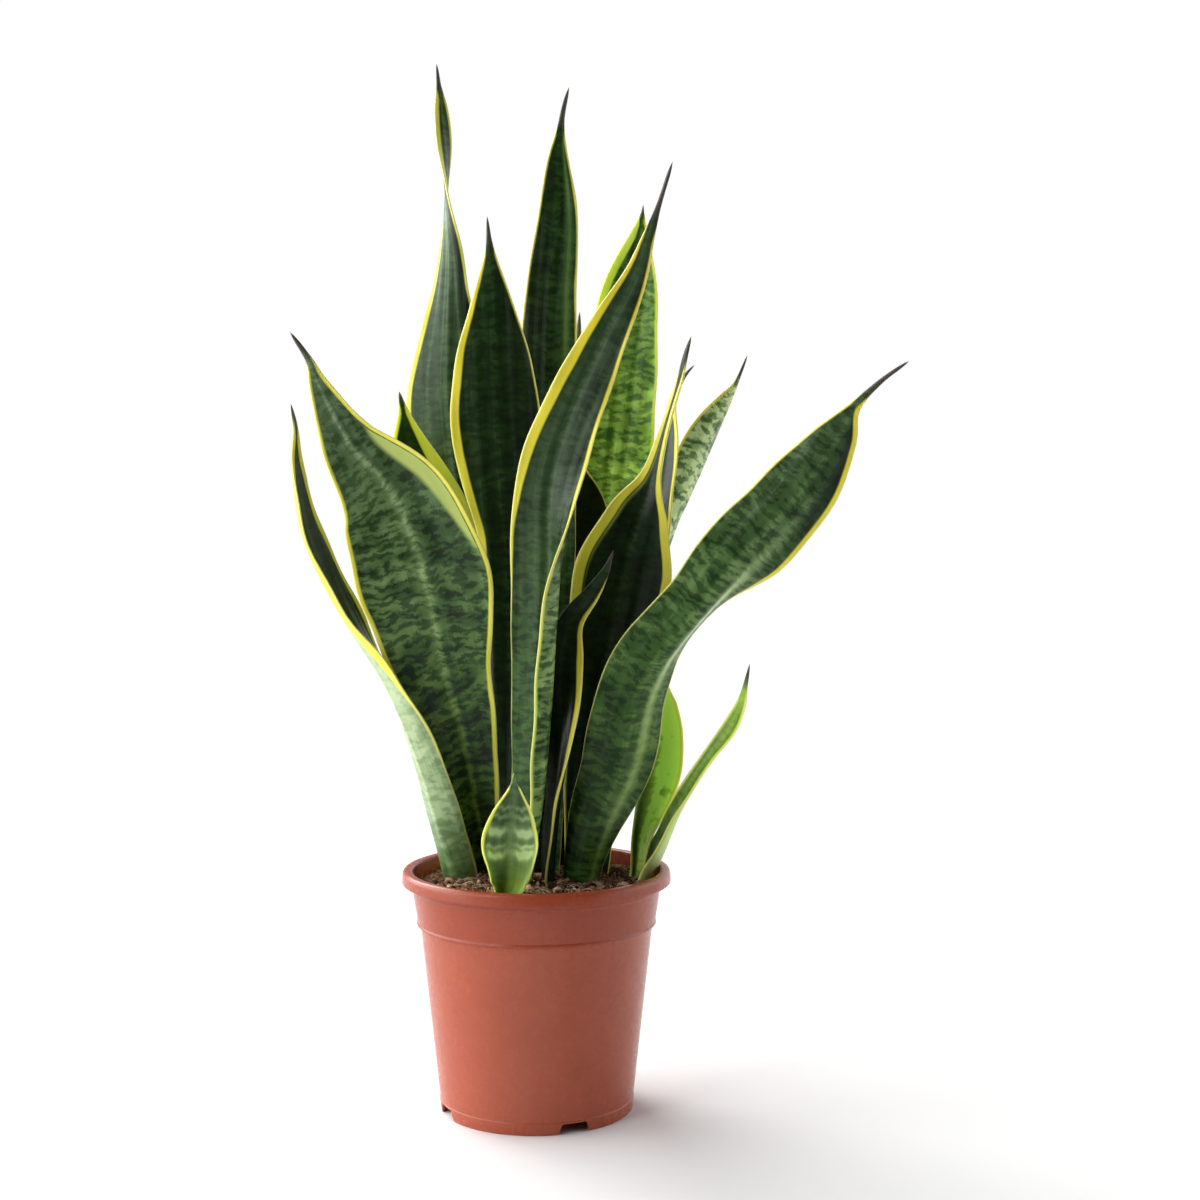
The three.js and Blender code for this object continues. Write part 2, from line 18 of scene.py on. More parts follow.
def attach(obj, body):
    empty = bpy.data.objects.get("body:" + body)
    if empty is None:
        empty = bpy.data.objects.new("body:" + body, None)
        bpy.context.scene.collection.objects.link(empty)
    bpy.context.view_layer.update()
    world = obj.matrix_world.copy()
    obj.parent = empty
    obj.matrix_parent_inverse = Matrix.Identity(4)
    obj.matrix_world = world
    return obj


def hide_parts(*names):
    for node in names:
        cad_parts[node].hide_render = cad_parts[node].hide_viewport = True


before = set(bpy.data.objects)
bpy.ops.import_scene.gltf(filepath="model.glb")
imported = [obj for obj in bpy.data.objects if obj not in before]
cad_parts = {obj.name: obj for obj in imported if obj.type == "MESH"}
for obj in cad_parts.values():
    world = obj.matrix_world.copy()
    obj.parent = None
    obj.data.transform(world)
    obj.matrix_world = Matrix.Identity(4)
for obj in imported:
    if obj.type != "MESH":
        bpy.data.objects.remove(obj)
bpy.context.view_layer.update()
MM = 0.001  # every size below is written in millimetres

# %% [markdown]
# ## Helpers
# Colours are picked as sRGB hex codes, but a shader wants linear light, so one function turns
# them over. A node tree is easier to read when a node, its settings and its links are one line,
# so a second function adds a node and wires it. A third puts numpy arrays into a mesh, which is
# much quicker than adding vertices one by one.

# %% Colours and nodes
def linear(hex_code):
    """Red, green, blue, alpha for a shader: each sRGB share c becomes ((c + 0.055) / 1.055) to
    the power 2.4, or c / 12.92 where it is very dark."""
    share = np.array([int(hex_code[i : i + 2], 16) for i in (1, 3, 5)]) / 255
    light = np.where(share <= 0.04045, share / 12.92, ((share + 0.055) / 1.055) ** 2.4)
    return (*light.tolist(), 1.0)


def add_node(tree, kind, inputs=(), **settings):
    """Adds a shader node. settings are its own properties. inputs are its sockets in order, or
    by name or number. Each has a value, or the socket to link, or the node whose first output is
    to be linked. MapRange takes a value, the range it comes from and the range it goes to."""
    made = tree.nodes.new("ShaderNode" + kind)
    for name, value in settings.items():
        setattr(made, name, value)
    for name, value in (inputs if isinstance(inputs, dict) else dict(enumerate(inputs))).items():
        if isinstance(value, bpy.types.Node):
            value = value.outputs[0]
        if isinstance(value, bpy.types.NodeSocket):
            tree.links.new(value, made.inputs[name])
        else:
            made.inputs[name].default_value = value
    return made


def new_material(name):
    """An empty material, and the function that adds nodes to it."""
    material = bpy.data.materials.new(name)
    material.use_nodes = True
    material.node_tree.nodes.clear()
    return material, partial(add_node, material.node_tree)


def set_stops(ramp, stops):
    """Puts (position, hex colour) stops on a Color Ramp node."""
    elements = ramp.color_ramp.elements
    while len(elements) < len(stops):
        elements.new(0.5)
    for element, (position, hex_code) in zip(elements, stops):
        element.position = position
        element.color = linear(hex_code)


SMOOTH = {"interpolation_type": "SMOOTHSTEP"}  # a MapRange that eases in and out
COLOURS = {"data_type": "RGBA"}  # a Mix of colours: sockets 0, 6 and 7 in, 2 out
print("mid grey #808080 is", round(linear("#808080")[0], 3), "in linear light")


# %% Meshes from arrays
def tube_faces(rings, count):
    """Quads between neighbouring rings of points. Each ring closes on itself."""
    i, j = np.meshgrid(np.arange(rings - 1), np.arange(count), indexing="ij")
    here, beside = i * count + j, i * count + (j + 1) % count
    return np.stack([here, beside, beside + count, here + count], -1).reshape(-1, 4)


def closed_tube(rings, count):
    """The faces of such a tube, with one flat face at each end."""
    ring = np.arange(count)[None]
    return tube_faces(rings, count), ring[:, ::-1], ring + (rings - 1) * count


def new_piece(name, points_mm, face_blocks, material):
    """A mesh object at the origin from points in millimetres and blocks of faces."""
    mesh = bpy.data.meshes.new(name)
    faces = sum((block.tolist() for block in face_blocks), [])
    mesh.from_pydata((points_mm.reshape(-1, 3) * MM).tolist(), [], faces)
    mesh.polygons.foreach_set("use_smooth", np.ones(len(mesh.polygons), bool))
    mesh.materials.append(material)
    mesh.update()
    piece = bpy.data.objects.new(name, mesh)
    bpy.context.scene.collection.objects.link(piece)
    return piece


def set_attribute(piece, name, kind, values):
    """Stores one value for each vertex, which a material reads by its name."""
    field = {"FLOAT_VECTOR": "vector", "FLOAT_COLOR": "color", "FLOAT": "value"}[kind]
    attribute = piece.data.attributes.new(name, kind, "POINT")
    attribute.data.foreach_set(field, np.ascontiguousarray(values, np.float32).ravel())


def unit(vectors):
    """The vectors shortened to length 1."""
    return vectors / np.linalg.norm(vectors, axis=-1, keepdims=True)


def smoothstep(low, high, value):
    """0 below low and 1 above high, with the ease 3t^2 - 2t^3 in between."""
    t = np.clip((value - low) / (high - low), 0, 1)
    return t * t * (3 - 2 * t)


def spread(share, values):
    """Values that are evenly spaced from a leaf's foot to its tip, read at every share of it."""
    return np.interp(share, np.linspace(0, 1, len(values)), values)


# %% [markdown]
# ## Camera
# The photograph was taken from a little above the middle of the plant with a short telephoto
# lens. The eye point, the tilt and the lens were worked out from the ellipses of the pot's rim
# and foot. The lens is the width of the sensor times the focal length over the width of the
# picture, both in pixels.

# %% The camera
CAMERA_PLACE = (0, -1230, 395)
CAMERA_YAW = 1.87  # degrees to the right
CAMERA_PITCH = 3.36  # degrees down
FOCAL_PIXELS = 1958
PICTURE_PIXELS = 1200

camera_data = bpy.data.cameras.new("camera")
camera_data.lens = camera_data.sensor_width * FOCAL_PIXELS / PICTURE_PIXELS
camera = bpy.data.objects.new("camera", camera_data)
camera.location = np.array(CAMERA_PLACE) * MM
camera.rotation_euler = np.radians([90 - CAMERA_PITCH, 0, -CAMERA_YAW])
bpy.context.scene.collection.objects.link(camera)
bpy.context.scene.camera = camera
print("lens:", round(camera_data.lens, 1), "mm")

# %% [markdown]
# ## Leaves: the shape
# A leaf is a thick, slightly channelled sword. Sculpting it by hand would be hard to repeat
# eighteen times, so each leaf is a list of stations along its midrib, the same ones as in the
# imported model, and one function sweeps the curved cross-section through them. A station holds a
# point of the midrib in mm, the half width from the midrib to a margin, the degrees that the
# upper face is turned to the right of the front, and the degrees that the left and the right
# half curl up by their margins.

# %% The stations of every leaf
LEAF_FOOT = 112  # height of every leaf's foot, down in the soil
LEAVES = {}
LEAVES["leaf_far_left"] = (
    (-49, 9, LEAF_FOOT, 10.5, 150, 60, 60), (-52, 8, 145, 14, 148, 50, 50),
    (-61, 4, 178, 17, 132, 44, 40), (-73.5, 0, 222, 19.5, 118, 44, 28), (-93, 0, 270, 19.5, 97, 38, 20),
    (-120.5, 2, 314, 20.5, 76, 50, 20), (-143, 5, 362, 14.5, 62, 60, 22), (-151, 8, 405, 7.2, 60, 55, 25),
    (-151, 9, 430, 2.5, 60, 30, 15), (-153.7, 10, 446, 0.8, 60, 0, 0),
)
LEAVES["leaf_broad_left"] = (
    (-29, 30, LEAF_FOOT, 9, 8, 80, 80), (-32, 28, 150, 11.5, 8, 70, 70), (-38, 22, 185, 15, 8, 50, 50),
    (-46, 12, 232, 22, 6, 35, 38), (-60, -1, 285, 32.5, 4, 25, 28), (-68.5, -16, 335.5, 42, 0, 18, 25),
    (-85, -26, 385, 36, 0, 15, 45), (-113, -32, 420.5, 18, 0, 15, 30), (-130, -36, 453.5, 6.5, 0, 12, 15),
    (-136.5, -37, 470, 2, 0, 8, 8), (-147.9, -38, 487, 0.8, 0, 0, 0),
)
LEAVES["leaf_young_left"] = (
    (-27, 41, LEAF_FOOT, 9, 10, 70, 70), (-29, 42, 150, 11, 10, 60, 60),
    (-35.5, 46, 215.5, 17, 12, 40, 40), (-47, 51, 285.5, 23.5, 14, 25, 25),
    (-59.5, 52, 345.5, 26, 15, 20, 20), (-72.5, 51, 387, 23.5, 15, 15, 15),
    (-82, 50, 421, 12, 15, 15, 15), (-86, 49, 443, 3.2, 15, 10, 10), (-88.6, 48, 456, 0.8, 15, 0, 0),
)
LEAVES["leaf_tall_twisted"] = (
    (-14, 51, LEAF_FOOT, 9, 180, 75, 75), (-17, 53, 150, 11.5, 180, 65, 65),
    (-28.5, 61, 227.5, 18, 180, 40, 40), (-42.5, 69, 318.5, 25.5, 180, 28, 28),
    (-54, 74, 400, 30, 177, 24, 24), (-58.5, 77, 456.5, 28.5, 172, 20, 20),
    (-58, 80, 503, 18, 165, 16, 16), (-57, 83, 549.5, 9.5, 145, 12, 12), (-59, 85, 588, 6.5, 95, 10, 10),
    (-60.5, 87, 619.5, 6, 40, 12, 12), (-62.5, 88, 644.5, 4.3, 20, 15, 15),
    (-64, 89, 660, 1.3, 20, 10, 10), (-65.3, 90, 674, 0.8, 20, 0, 0),
)
LEAVES["leaf_centre_left"] = (
    (-10, 19, LEAF_FOOT, 8, 180, 70, 70), (-11, 19, 150, 10, 180, 60, 60),
    (-14, 18, 215.5, 12.5, 180, 45, 45), (-16, 16, 290, 14.5, 182, 40, 40),
    (-19, 13, 360, 18, 184, 32, 32), (-24, 9, 420, 28, 186, 18, 18), (-26, 5, 464.5, 25.5, 187, 14, 14),
    (-27, 1, 504, 14.5, 188, 12, 12), (-28, -2, 535.5, 4, 188, 10, 10), (-29, -3, 549, 1.2, 188, 5, 5),
    (-29.9, -4, 561, 0.8, 188, 0, 0),
)
LEAVES["leaf_centre_front"] = (
    (-8, -14, LEAF_FOOT, 10, -42, 70, 90), (-7, -15, 150, 12.5, -42, 55, 110),
    (0, -18, 200, 17.5, -40, 32, 135), (4.5, -23, 258.5, 22.5, -38, 22, 142),
    (7, -29, 312.5, 24.5, -34, 18, 138), (8, -34, 352.5, 24.5, -28, 20, 108),
    (9, -40, 392, 22, -18, 20, 45), (18.5, -46, 429.5, 19.5, -10, 20, 25),
    (39.5, -53, 478.5, 14, -5, 20, 20), (58.5, -58, 517, 7.5, 0, 15, 15),
    (66.5, -61, 540.5, 3.6, 0, 10, 10), (73, -63, 560.5, 1.2, 0, 0, 0), (80.7, -66, 585, 0.8, 0, 0, 0),
)
LEAVES["leaf_tall_centre"] = (
    (6, 29, LEAF_FOOT, 8.5, 0, 75, 75), (6, 30, 150, 10.5, 2, 65, 65), (5.5, 34, 239.5, 16.5, 5, 44, 44),
    (5, 39, 329.5, 20, 8, 36, 36), (6, 43, 410, 20.5, 10, 32, 32), (7, 46, 471, 19.5, 11, 30, 30),
    (9.5, 50, 521.5, 17, 12, 28, 28), (14, 53, 567.5, 13.5, 12, 26, 26),
    (14.5, 56, 603.5, 7.5, 12, 22, 22), (16.5, 58, 626.5, 2.2, 12, 12, 12),
    (18.5, 59, 639.5, 1.2, 12, 0, 0), (21.9, 60, 653, 0.8, 12, 0, 0),
)
LEAVES["leaf_bright_back"] = (
    (26, 57, LEAF_FOOT, 8, 0, 75, 75), (28, 60, 150, 10, 0, 65, 65), (33, 68, 229, 18, -4, 35, 35),
    (39.5, 78, 309, 25.5, -8, 22, 22), (47, 86, 379.5, 27.5, -10, 18, 18), (54, 92, 441, 27, -12, 15, 15),
    (59.5, 97, 492.5, 23.5, -12, 15, 15), (65, 101, 534, 17, -12, 12, 12),
    (70, 103, 563.5, 6.5, -12, 10, 10), (72, 104, 576, 1.6, -12, 5, 5),
    (72.8, 105, 584.5, 0.8, -12, 0, 0),
)
LEAVES["leaf_slender_back"] = (
    (0, 60, LEAF_FOOT, 7, 0, 65, 65), (1, 64, 150, 8.5, 0, 60, 60), (8, 81, 239, 14, -8, 30, 30),
    (16, 98, 328.5, 17, -14, 20, 20), (23.5, 108, 400, 16.5, -18, 15, 15),
    (27, 115, 452, 11.5, -20, 12, 12), (29, 119, 485, 5, -20, 10, 10), (29.5, 120, 499.5, 1.6, -20, 5, 5),
    (30.1, 121, 513.5, 0.8, -20, 0, 0),
)
LEAVES["leaf_folded_right"] = (
    (25, 20, LEAF_FOOT, 9, 5, 75, 75), (27, 20, 150, 11, 3, 65, 65), (33, 20, 215, 17, 0, 45, 45),
    (44, 18, 280.5, 25, -3, 30, 30), (55, 15, 335.5, 31.5, -5, 20, 22),
    (65.5, 12, 374, 21.5, -12, 25, 35), (74, 9, 399, 9.5, -35, 35, 50),
    (82.5, 6, 431.5, 4.5, -55, 30, 50), (90.5, 4, 459.5, 3, -50, 25, 40), (94, 3, 476, 1.5, -40, 10, 10),
    (97.4, 2, 488, 0.8, -30, 0, 0),
)
LEAVES["leaf_narrow_right"] = (
    (40, 30, LEAF_FOOT, 7, -30, 70, 70), (42, 31, 150, 9, -30, 60, 60), (50, 35, 220, 13, -35, 40, 40),
    (61, 39, 290, 17, -40, 30, 30), (72.5, 42, 345, 17.5, -45, 25, 25), (82, 44, 390, 15, -50, 25, 28),
    (88, 45, 425.5, 10, -55, 25, 30), (89.5, 46, 448.5, 5.5, -65, 20, 25),
    (95.5, 46, 464, 1.8, -65, 10, 10), (103.2, 46, 473, 0.8, -65, 0, 0),
)
LEAVES["leaf_channelled_right"] = (
    (43, 46, LEAF_FOOT, 6.5, -100, 70, 70), (46, 48, 150, 8, -105, 60, 60),
    (54, 54, 219.5, 13, -112, 48, 48), (66.5, 62, 289.5, 17, -120, 38, 38),
    (84, 69, 358.5, 18, -125, 35, 35), (99, 73, 394, 18, -125, 33, 33),
    (114, 76, 427.5, 16.5, -125, 30, 30), (127, 78, 451, 7.5, -125, 25, 25),
    (134, 79, 463.5, 1.9, -125, 15, 15), (141.2, 80, 481.5, 0.8, -125, 0, 0),
)
LEAVES["leaf_arching_right"] = (
    (27, -6, LEAF_FOOT, 10.5, 175, 65, 60), (29, -8, 150, 13.5, 178, 60, 50),
    (37, -11, 182, 18.5, 180, 50, 35), (52, -15, 219.5, 24.5, 182, 50, 20),
    (62, -20, 262.5, 25, 183, 68, 14), (73.5, -25, 286, 25, 184, 98, 10),
    (86, -29, 302.5, 24.5, 185, 115, 10), (102, -34, 322, 23, 185, 110, 10),
    (117, -39, 342.5, 25, 184, 60, 12), (131.5, -44, 359.5, 25, 182, 25, 15),
    (147.5, -49, 377, 24, 181, 20, 15), (165, -55, 399.5, 21, 180, 20, 15),
    (180, -61, 423.5, 13, 180, 20, 15), (189.5, -66, 441, 3.6, 180, 10, 10),
    (204.5, -70, 456.5, 1.2, 180, 0, 0), (220.2, -74, 468, 0.8, 180, 0, 0),
)
LEAVES["leaf_front_pup"] = (
    (-15, -53, LEAF_FOOT, 5.5, 0, 80, 80), (-18.4, -55.5, 146, 7.4, 0, 75, 75),
    (-17, -57.5, 155, 12, 0, 58, 58), (-16, -58.5, 166, 15, 0, 46, 46), (-16, -61, 182.5, 18, 0, 38, 38),
    (-14.5, -64, 198, 13.5, 0, 32, 32), (-13.5, -66, 210.5, 5.5, 0, 22, 22),
    (-13.5, -67, 217.5, 1.6, 0, 10, 10), (-13.5, -68, 223.5, 0.8, 0, 0, 0),
)
LEAVES["leaf_inner_short"] = (
    (9, -2, LEAF_FOOT, 8, -80, 60, 60), (8.5, -6, 150, 9.5, -80, 50, 50),
    (11.5, -10, 190, 11.5, -75, 40, 40), (15, -13, 225, 13.5, -58, 30, 35),
    (16.5, -14, 258, 14.5, -30, 22, 30), (17.5, -14, 288, 13, -15, 20, 28),
    (22, -15, 310, 8, -10, 20, 25), (34, -17, 327, 5.2, -5, 20, 20), (42, -18, 340, 2.7, 0, 20, 20),
    (45.5, -18, 348, 1.1, 0, 10, 10), (48, -18, 355, 0.8, 0, 0, 0),
)
LEAVES["leaf_hidden_centre"] = (
    (13, 43, LEAF_FOOT, 8, 5, 75, 75), (14, 45, 150, 10, 6, 65, 65), (16, 49, 219.5, 17, 8, 38, 38),
    (18.5, 53, 289.5, 23, 10, 26, 26), (21, 56, 344.5, 25, 12, 20, 20), (22.5, 58, 380, 23.5, 12, 16, 16),
    (21, 59, 404, 12.5, 12, 14, 14), (19.5, 60, 422.5, 5, 12, 10, 10), (18, 61, 434.5, 1.5, 12, 5, 5),
    (17.2, 62, 448.5, 0.8, 12, 0, 0),
)
LEAVES["leaf_right_pup_upright"] = (
    (59, 8, LEAF_FOOT, 4.6, -10, 75, 75), (64, 8.5, 146, 5.2, -10, 70, 70),
    (67.3, 11.5, 169.5, 6.8, -8, 45, 45), (75, 19, 192, 11.5, -8, 32, 32), (81, 23, 212, 13, -8, 28, 28),
    (84, 25, 233.5, 11.2, -8, 25, 25), (84.5, 27, 251.5, 7, -5, 18, 18), (85.3, 28, 259.5, 3.6, 0, 8, 8),
    (85.7, 29, 265, 0.8, 0, 0, 0),
)
LEAVES["leaf_right_pup_leaning"] = (
    (65.8, 8, LEAF_FOOT, 12.5, -88, 80, 70), (72.8, 8, 146, 14, -88, 75, 75),
    (81, 4, 167.5, 13, -84, 22, 72), (88.5, -2, 188, 9, -75, 30, 58), (98.5, -8, 208.5, 5.8, -60, 38, 38),
    (109, -13, 226, 5, -50, 32, 32), (121, -17, 243, 6, -50, 28, 28),
    (127.5, -20, 257.5, 4.2, -50, 25, 25), (130, -22, 271, 1.6, -50, 10, 10),
    (132.3, -24, 284.5, 0.8, -50, 0, 0),
)
print(len(LEAVES), "leaves")


# %% [markdown]
# ## Leaves: the surface
# The stations are joined by a Catmull-Rom curve, which passes through every one of them with no
# kinks. Each half of the cross-section is an arc of a circle that leaves the midrib square to it
# and reaches its full curl at the margin; the arching leaf is folded to a keel instead. On top of
# that come the small shapes that light picks out: channels along the blade, a groove along the
# midrib, and a slight wave in the margin.

# %% The leaf surface
RING_SPACING = 3.0  # mm between cross-sections
CURVE_STEPS = 24  # points on the curve between two stations
FEWEST_RINGS = 100  # a short leaf has closer ones
MIDDLE_THICKNESS = (4.6, 1.5)  # mm at the foot and at the tip
MARGIN_THICKNESS = (1.3, 0.9)
TIP_TAPER = 9.0  # mm over which the tip closes to a point
CHANNELS = ((6.1, 0.07), (9.7, 0.14), (17.0, 0.25))  # width and depth in mm of the channels
CHANNEL_DRIFT, DRIFT_LENGTH = 0.8, 83  # radians and mm, how the channels wander
MARGIN_WAVE, WAVE_LENGTH = 0.7, 8.5  # mm that the margin waves up and down, and over which length
WIDTH_WAVE, WIDTH_LENGTH = 0.011, 7.7  # share that the width varies, and over how many mm
GROOVE_DEPTH, GROOVE_WIDTH = 1.1, 3.6  # mm, the groove along the midrib
GROOVE_END = (0.4, 0.75)  # share of the leaf where the groove fades
BROAD_HALF = 14  # mm of half width from which the small shapes are full
KEELED = {"leaf_arching_right": 1.0}  # share of the curl that is a sharp keel at the midrib
KEEL_SHARE = 0.28  # share of a half within which a keel turns
KEEL_CURL = 0.62  # share of the full curl that it turns by
KEEL_ROUND = 0.06  # share of a half within which its ridge is rounded
KEEL_STEPS = 201  # points on its path


def smooth_rows(stations):
    """Rows every RING_SPACING along the leaf. Between stations b and c, with a before and d
    after, every column is b + (3 - 2t)t^2 (c - b) + t(1 - t)^2 (c - a)/2 + t^2 (t - 1)(d - b)/2.
    The columns added are the station's share of the list and the length along the leaf."""
    rows = np.array(stations, float)
    rows = np.column_stack([rows, np.linspace(0, 1, len(rows))])
    ends = np.vstack([rows[:1], rows, rows[-1:]])
    a, b, c, d = ends[:-3], ends[1:-2], ends[2:-1], ends[3:]
    t = np.linspace(0, 1, CURVE_STEPS, endpoint=False)[:, None, None]
    fine = b + (3 - 2 * t) * t**2 * (c - b)
    fine += t * (1 - t) ** 2 * (c - a) / 2 + t**2 * (t - 1) * (d - b) / 2
    fine = np.vstack([fine.transpose(1, 0, 2).reshape(-1, rows.shape[1]), rows[-1:]])
    steps = np.linalg.norm(np.diff(fine[:, :3], axis=0), axis=1)
    length = np.concatenate([[0], np.cumsum(steps)])
    even = np.linspace(0, length[-1], max(int(length[-1] / RING_SPACING) + 1, FEWEST_RINGS))
    return np.column_stack([*(np.interp(even, length, column) for column in fine.T), even])


def half_section(full, across, keel):
    """Where a half of the cross-section runs, for a half width of 1: how far out, how far up,
    and its slope. An arc of full curl c has the slope cq at a share q. A keel turns early
    instead, by smoothstep(q / KEEL_SHARE), and is then turned and scaled in its plane so that
    its margin stays where the arc puts it. The two are mixed by the keel share."""
    q = abs(across)
    arc = full * q
    out, lift = np.sin(arc) / full, (1 - np.cos(arc)) / full
    if not keel:
        return out, lift, arc
    fine = np.linspace(0, 1, KEEL_STEPS)[None]
    paths = []
    for column in (0, -1):
        c = full[:, column][:, None]
        slope = KEEL_CURL * c * smoothstep(0, KEEL_SHARE, fine)
        path = np.cumsum(np.exp(1j * slope), axis=1) / KEEL_STEPS
        path -= path[:, :1]
        end = np.sin(c) / c + 1j * (1 - np.cos(c)) / c
        fit = end / path[:, -1:]
        paths.append((path * fit, slope + np.angle(fit)))
    place = np.rint(q[0] * (KEEL_STEPS - 1)).astype(int)
    path, slope = (np.where(across < 0, a[:, place], b[:, place]) for a, b in zip(*paths))
    slope = slope * smoothstep(0, KEEL_ROUND, q)
    mixed = ((out, path.real), (lift, path.imag), (arc, slope))
    return tuple(plain + keel * (folded - plain) for plain, folded in mixed)


def blade_shape(rows, strips, phase, keel):
    """The leaf's surface as two sheets of points, its rims, and the distances in mm from the
    margin and from the midrib. At a share q across, a half with radius r and full curl c is at
    r sin(cq) to the side and r(1 - cos(cq)) up, half the thickness away along the normal."""
    half_width, facing, left, right, share, length = rows[:, 3:].T[..., None]
    ahead = unit(np.gradient(rows[:, :3], axis=0))
    look = np.column_stack([np.sin(np.radians(facing)), -np.cos(np.radians(facing)), 0 * facing])
    up = unit(look - (look * ahead).sum(1, keepdims=True) * ahead)[:, None]
    side = np.cross(ahead[:, None], up)
    taper = np.sqrt(np.clip((length[-1] - length) / TIP_TAPER, 0.004, 1))
    half_width = half_width * taper * (1 + WIDTH_WAVE * np.sin(length / WIDTH_LENGTH + phase))

    across = np.linspace(-1, 1, strips + 1)[None]
    hand = np.sign(across)
    full = np.radians(np.maximum(np.where(across < 0, left, right), 1))
    out, lift, angle = half_section(full, across, keel)
    out, lift = hand * half_width * out, half_width * lift
    broad = np.clip(half_width / BROAD_HALF, 0, 1)
    reach = across * half_width
    groove = GROOVE_DEPTH * broad * (1 - smoothstep(*GROOVE_END, share))
    lift = lift - groove * np.exp(-((reach / GROOVE_WIDTH) ** 2))
    for number, (width, depth) in enumerate(CHANNELS):
        drift = CHANNEL_DRIFT * np.sin(length / DRIFT_LENGTH + phase + number)
        lift = lift + broad * depth * np.sin(2 * np.pi * reach / width + drift + number * phase)
    waving = np.sin(length / WAVE_LENGTH + phase + 1.3 * hand) * across**4
    lift = lift + MARGIN_WAVE * broad * waving

    centre = rows[:, None, :3] + side * out[..., None] + up * lift[..., None]
    rise, run = np.sin(angle)[..., None], np.cos(angle)[..., None]
    normal = up * run - side * (hand[..., None] * rise)
    outward = side * hand[..., None] * run + up * rise
    middle = np.minimum(spread(share, MIDDLE_THICKNESS), 2 * half_width)
    margin = np.minimum(spread(share, MARGIN_THICKNESS), 1.3 * half_width)
    half = ((middle + (margin - middle) * across**2) / 2)[..., None]
    rims = centre + outward * 0.8 * half
    return centre + normal * half, centre - normal * half, rims, half_width * (1 - abs(across)), reach


def blade_rings(upper, lower, rims):
    """The upper sheet from left to right, a rim point, the lower sheet back, a rim point."""
    return np.concatenate([upper, rims[:, -1:], lower[:, ::-1], rims[:, :1]], axis=1)


def cap_faces(strips, first):
    """Faces that close one end of the blade, between the two sheets."""
    j = np.arange(strips)
    below = 2 * strips + 2 - j
    quads = first + np.stack([j, below, below - 1, j + 1], -1)
    rims = first + np.array([[strips, strips + 2, strips + 1], [0, 2 * strips + 3, 2 * strips + 2]])
    return quads, rims


print("channels:", len(CHANNELS), "ring spacing:", RING_SPACING, "mm")


# %% [markdown]
# ## Leaves: where the colour goes
# The colours of a snake plant follow the leaf, not space: the yellow runs along the margins at a
# set width, the cross-bands lie square to the midrib and fade towards the tip, and the last
# stretch of the tip is dry and brown. So each vertex stores how far it is from the margin and
# from the border of the yellow, and how light, banded and warm the green is. The material only
# has to compare those numbers, and the pattern stays on the leaf from every side.
#
# For each leaf the table gives, for the upper face and for the back: the width of the yellow at
# the left and right margin in mm (-1.5 is none), the lightness of the green and the strength of
# the bands. A row of numbers is evenly spaced from foot to tip. The lime share turns yellow into
# lime, and the warm share turns the cool green into a fresh one. A stripe has its side, its width
# in mm and the shares of the leaf where it starts and ends; the pale stripe is partly the leaf's
# paler green and partly a painted highlight where the margin rolls. A streak of painted light and
# tone has its place and width across the leaf, and how much lighter it makes the green. Some
# streaks are the leaf's own tone, some are painted sheen along a fold or a ridge, and some are
# painted shade on a half that turns away from the light.

# %% What each leaf looks like
LOOKS = {}
LOOKS["leaf_far_left"] = {
    "upper": (5, 2.5, (0.5, 0.3, 0.25), (0.5, 0.2, 0.1)),
    "back": ((-0.3, -0.3, -0.1, 0.1, 1.2, 8, 12.5, 12, 11, 8, 5), 0.6, (0.42, 0.82, 1.02, 1, 0.6),
        (0.3, 0.2, 0.1)),
    "lime": (1, 0.8, 0.4, 0.2, 0.2), "warm": (0.2, 0.1),
}
LOOKS["leaf_broad_left"] = {
    "upper": ((0.5, 1.2, 2, 2, 1.4, 0.8, 0.5), (0.5, 2, 2.4, 2.2, 2, 1.6, 0.8),
        (0.14, 0.38, 0.5, 0.57, 0.66), (0.5, 0.85, 0.85, 0.45, 0.1)),
    "back": (2, 2, (0.6, 0.6, 0.4), (0.8, 0.8, 0.4)),
    "lime": (0.6, 0.3), "warm": (0.8, 0.65, 0.3, 0.05, 0), "stripe": (1, 13, 0.51, 0.72),
    # painted light along the midrib ridge and painted shade in the valley beside it; the rest is own tone
    "accents": ((-0.05, 0.12, (0.2, 0.2, 0.02)), (0.18, 0.1, (-0.1, -0.12, -0.05)),
        (0.6, 0.25, (0, -0.1, 0.05)), (-0.6, 0.5, (0, 0.02, 0.14))),
}
LOOKS["leaf_young_left"] = {
    "upper": (2, (8, 9, 10, 11, 9, 2.5, 0.3), (0.4, 0.3, 0.15), (0.5, 0.3, 0.1)),
    "back": (3, 5, (0.7, 0.6, 0.4), (0.6, 0.6, 0.3)),
    "lime": (0.8,), "warm": (0.75,),
}
LOOKS["leaf_tall_twisted"] = {
    "upper": (2.5, 1, (0.5, 0.5, 0.35), (0.5, 0.5, 0.15)),
    "back": (0.8, (3, 4, 4, 3.6, 3.4, 2, 1, 0.8, 0.6), (0.3, 0.4, 0.46, 0.72, 0.72),
        (0.6, 0.4, 0.2, 0.12, 0.1)),
    "lime": (0.6,), "warm": (0.2, 0.02, 0),
    # painted shade: the dark strip along one margin; painted sheen: the narrow light lines
    "accents": ((-0.85, 0.35, (-0.1, -0.2, -0.35, -0.6, -0.6)), (0.16, 0.04, (0, 0.2, 0.25)),
        (0, 0.04, (0, 0.15, 0.3)), (-0.4, 0.07, (0, 0.2, 0)), (0.5, 0.06, (0, 0.16, 0))),
}
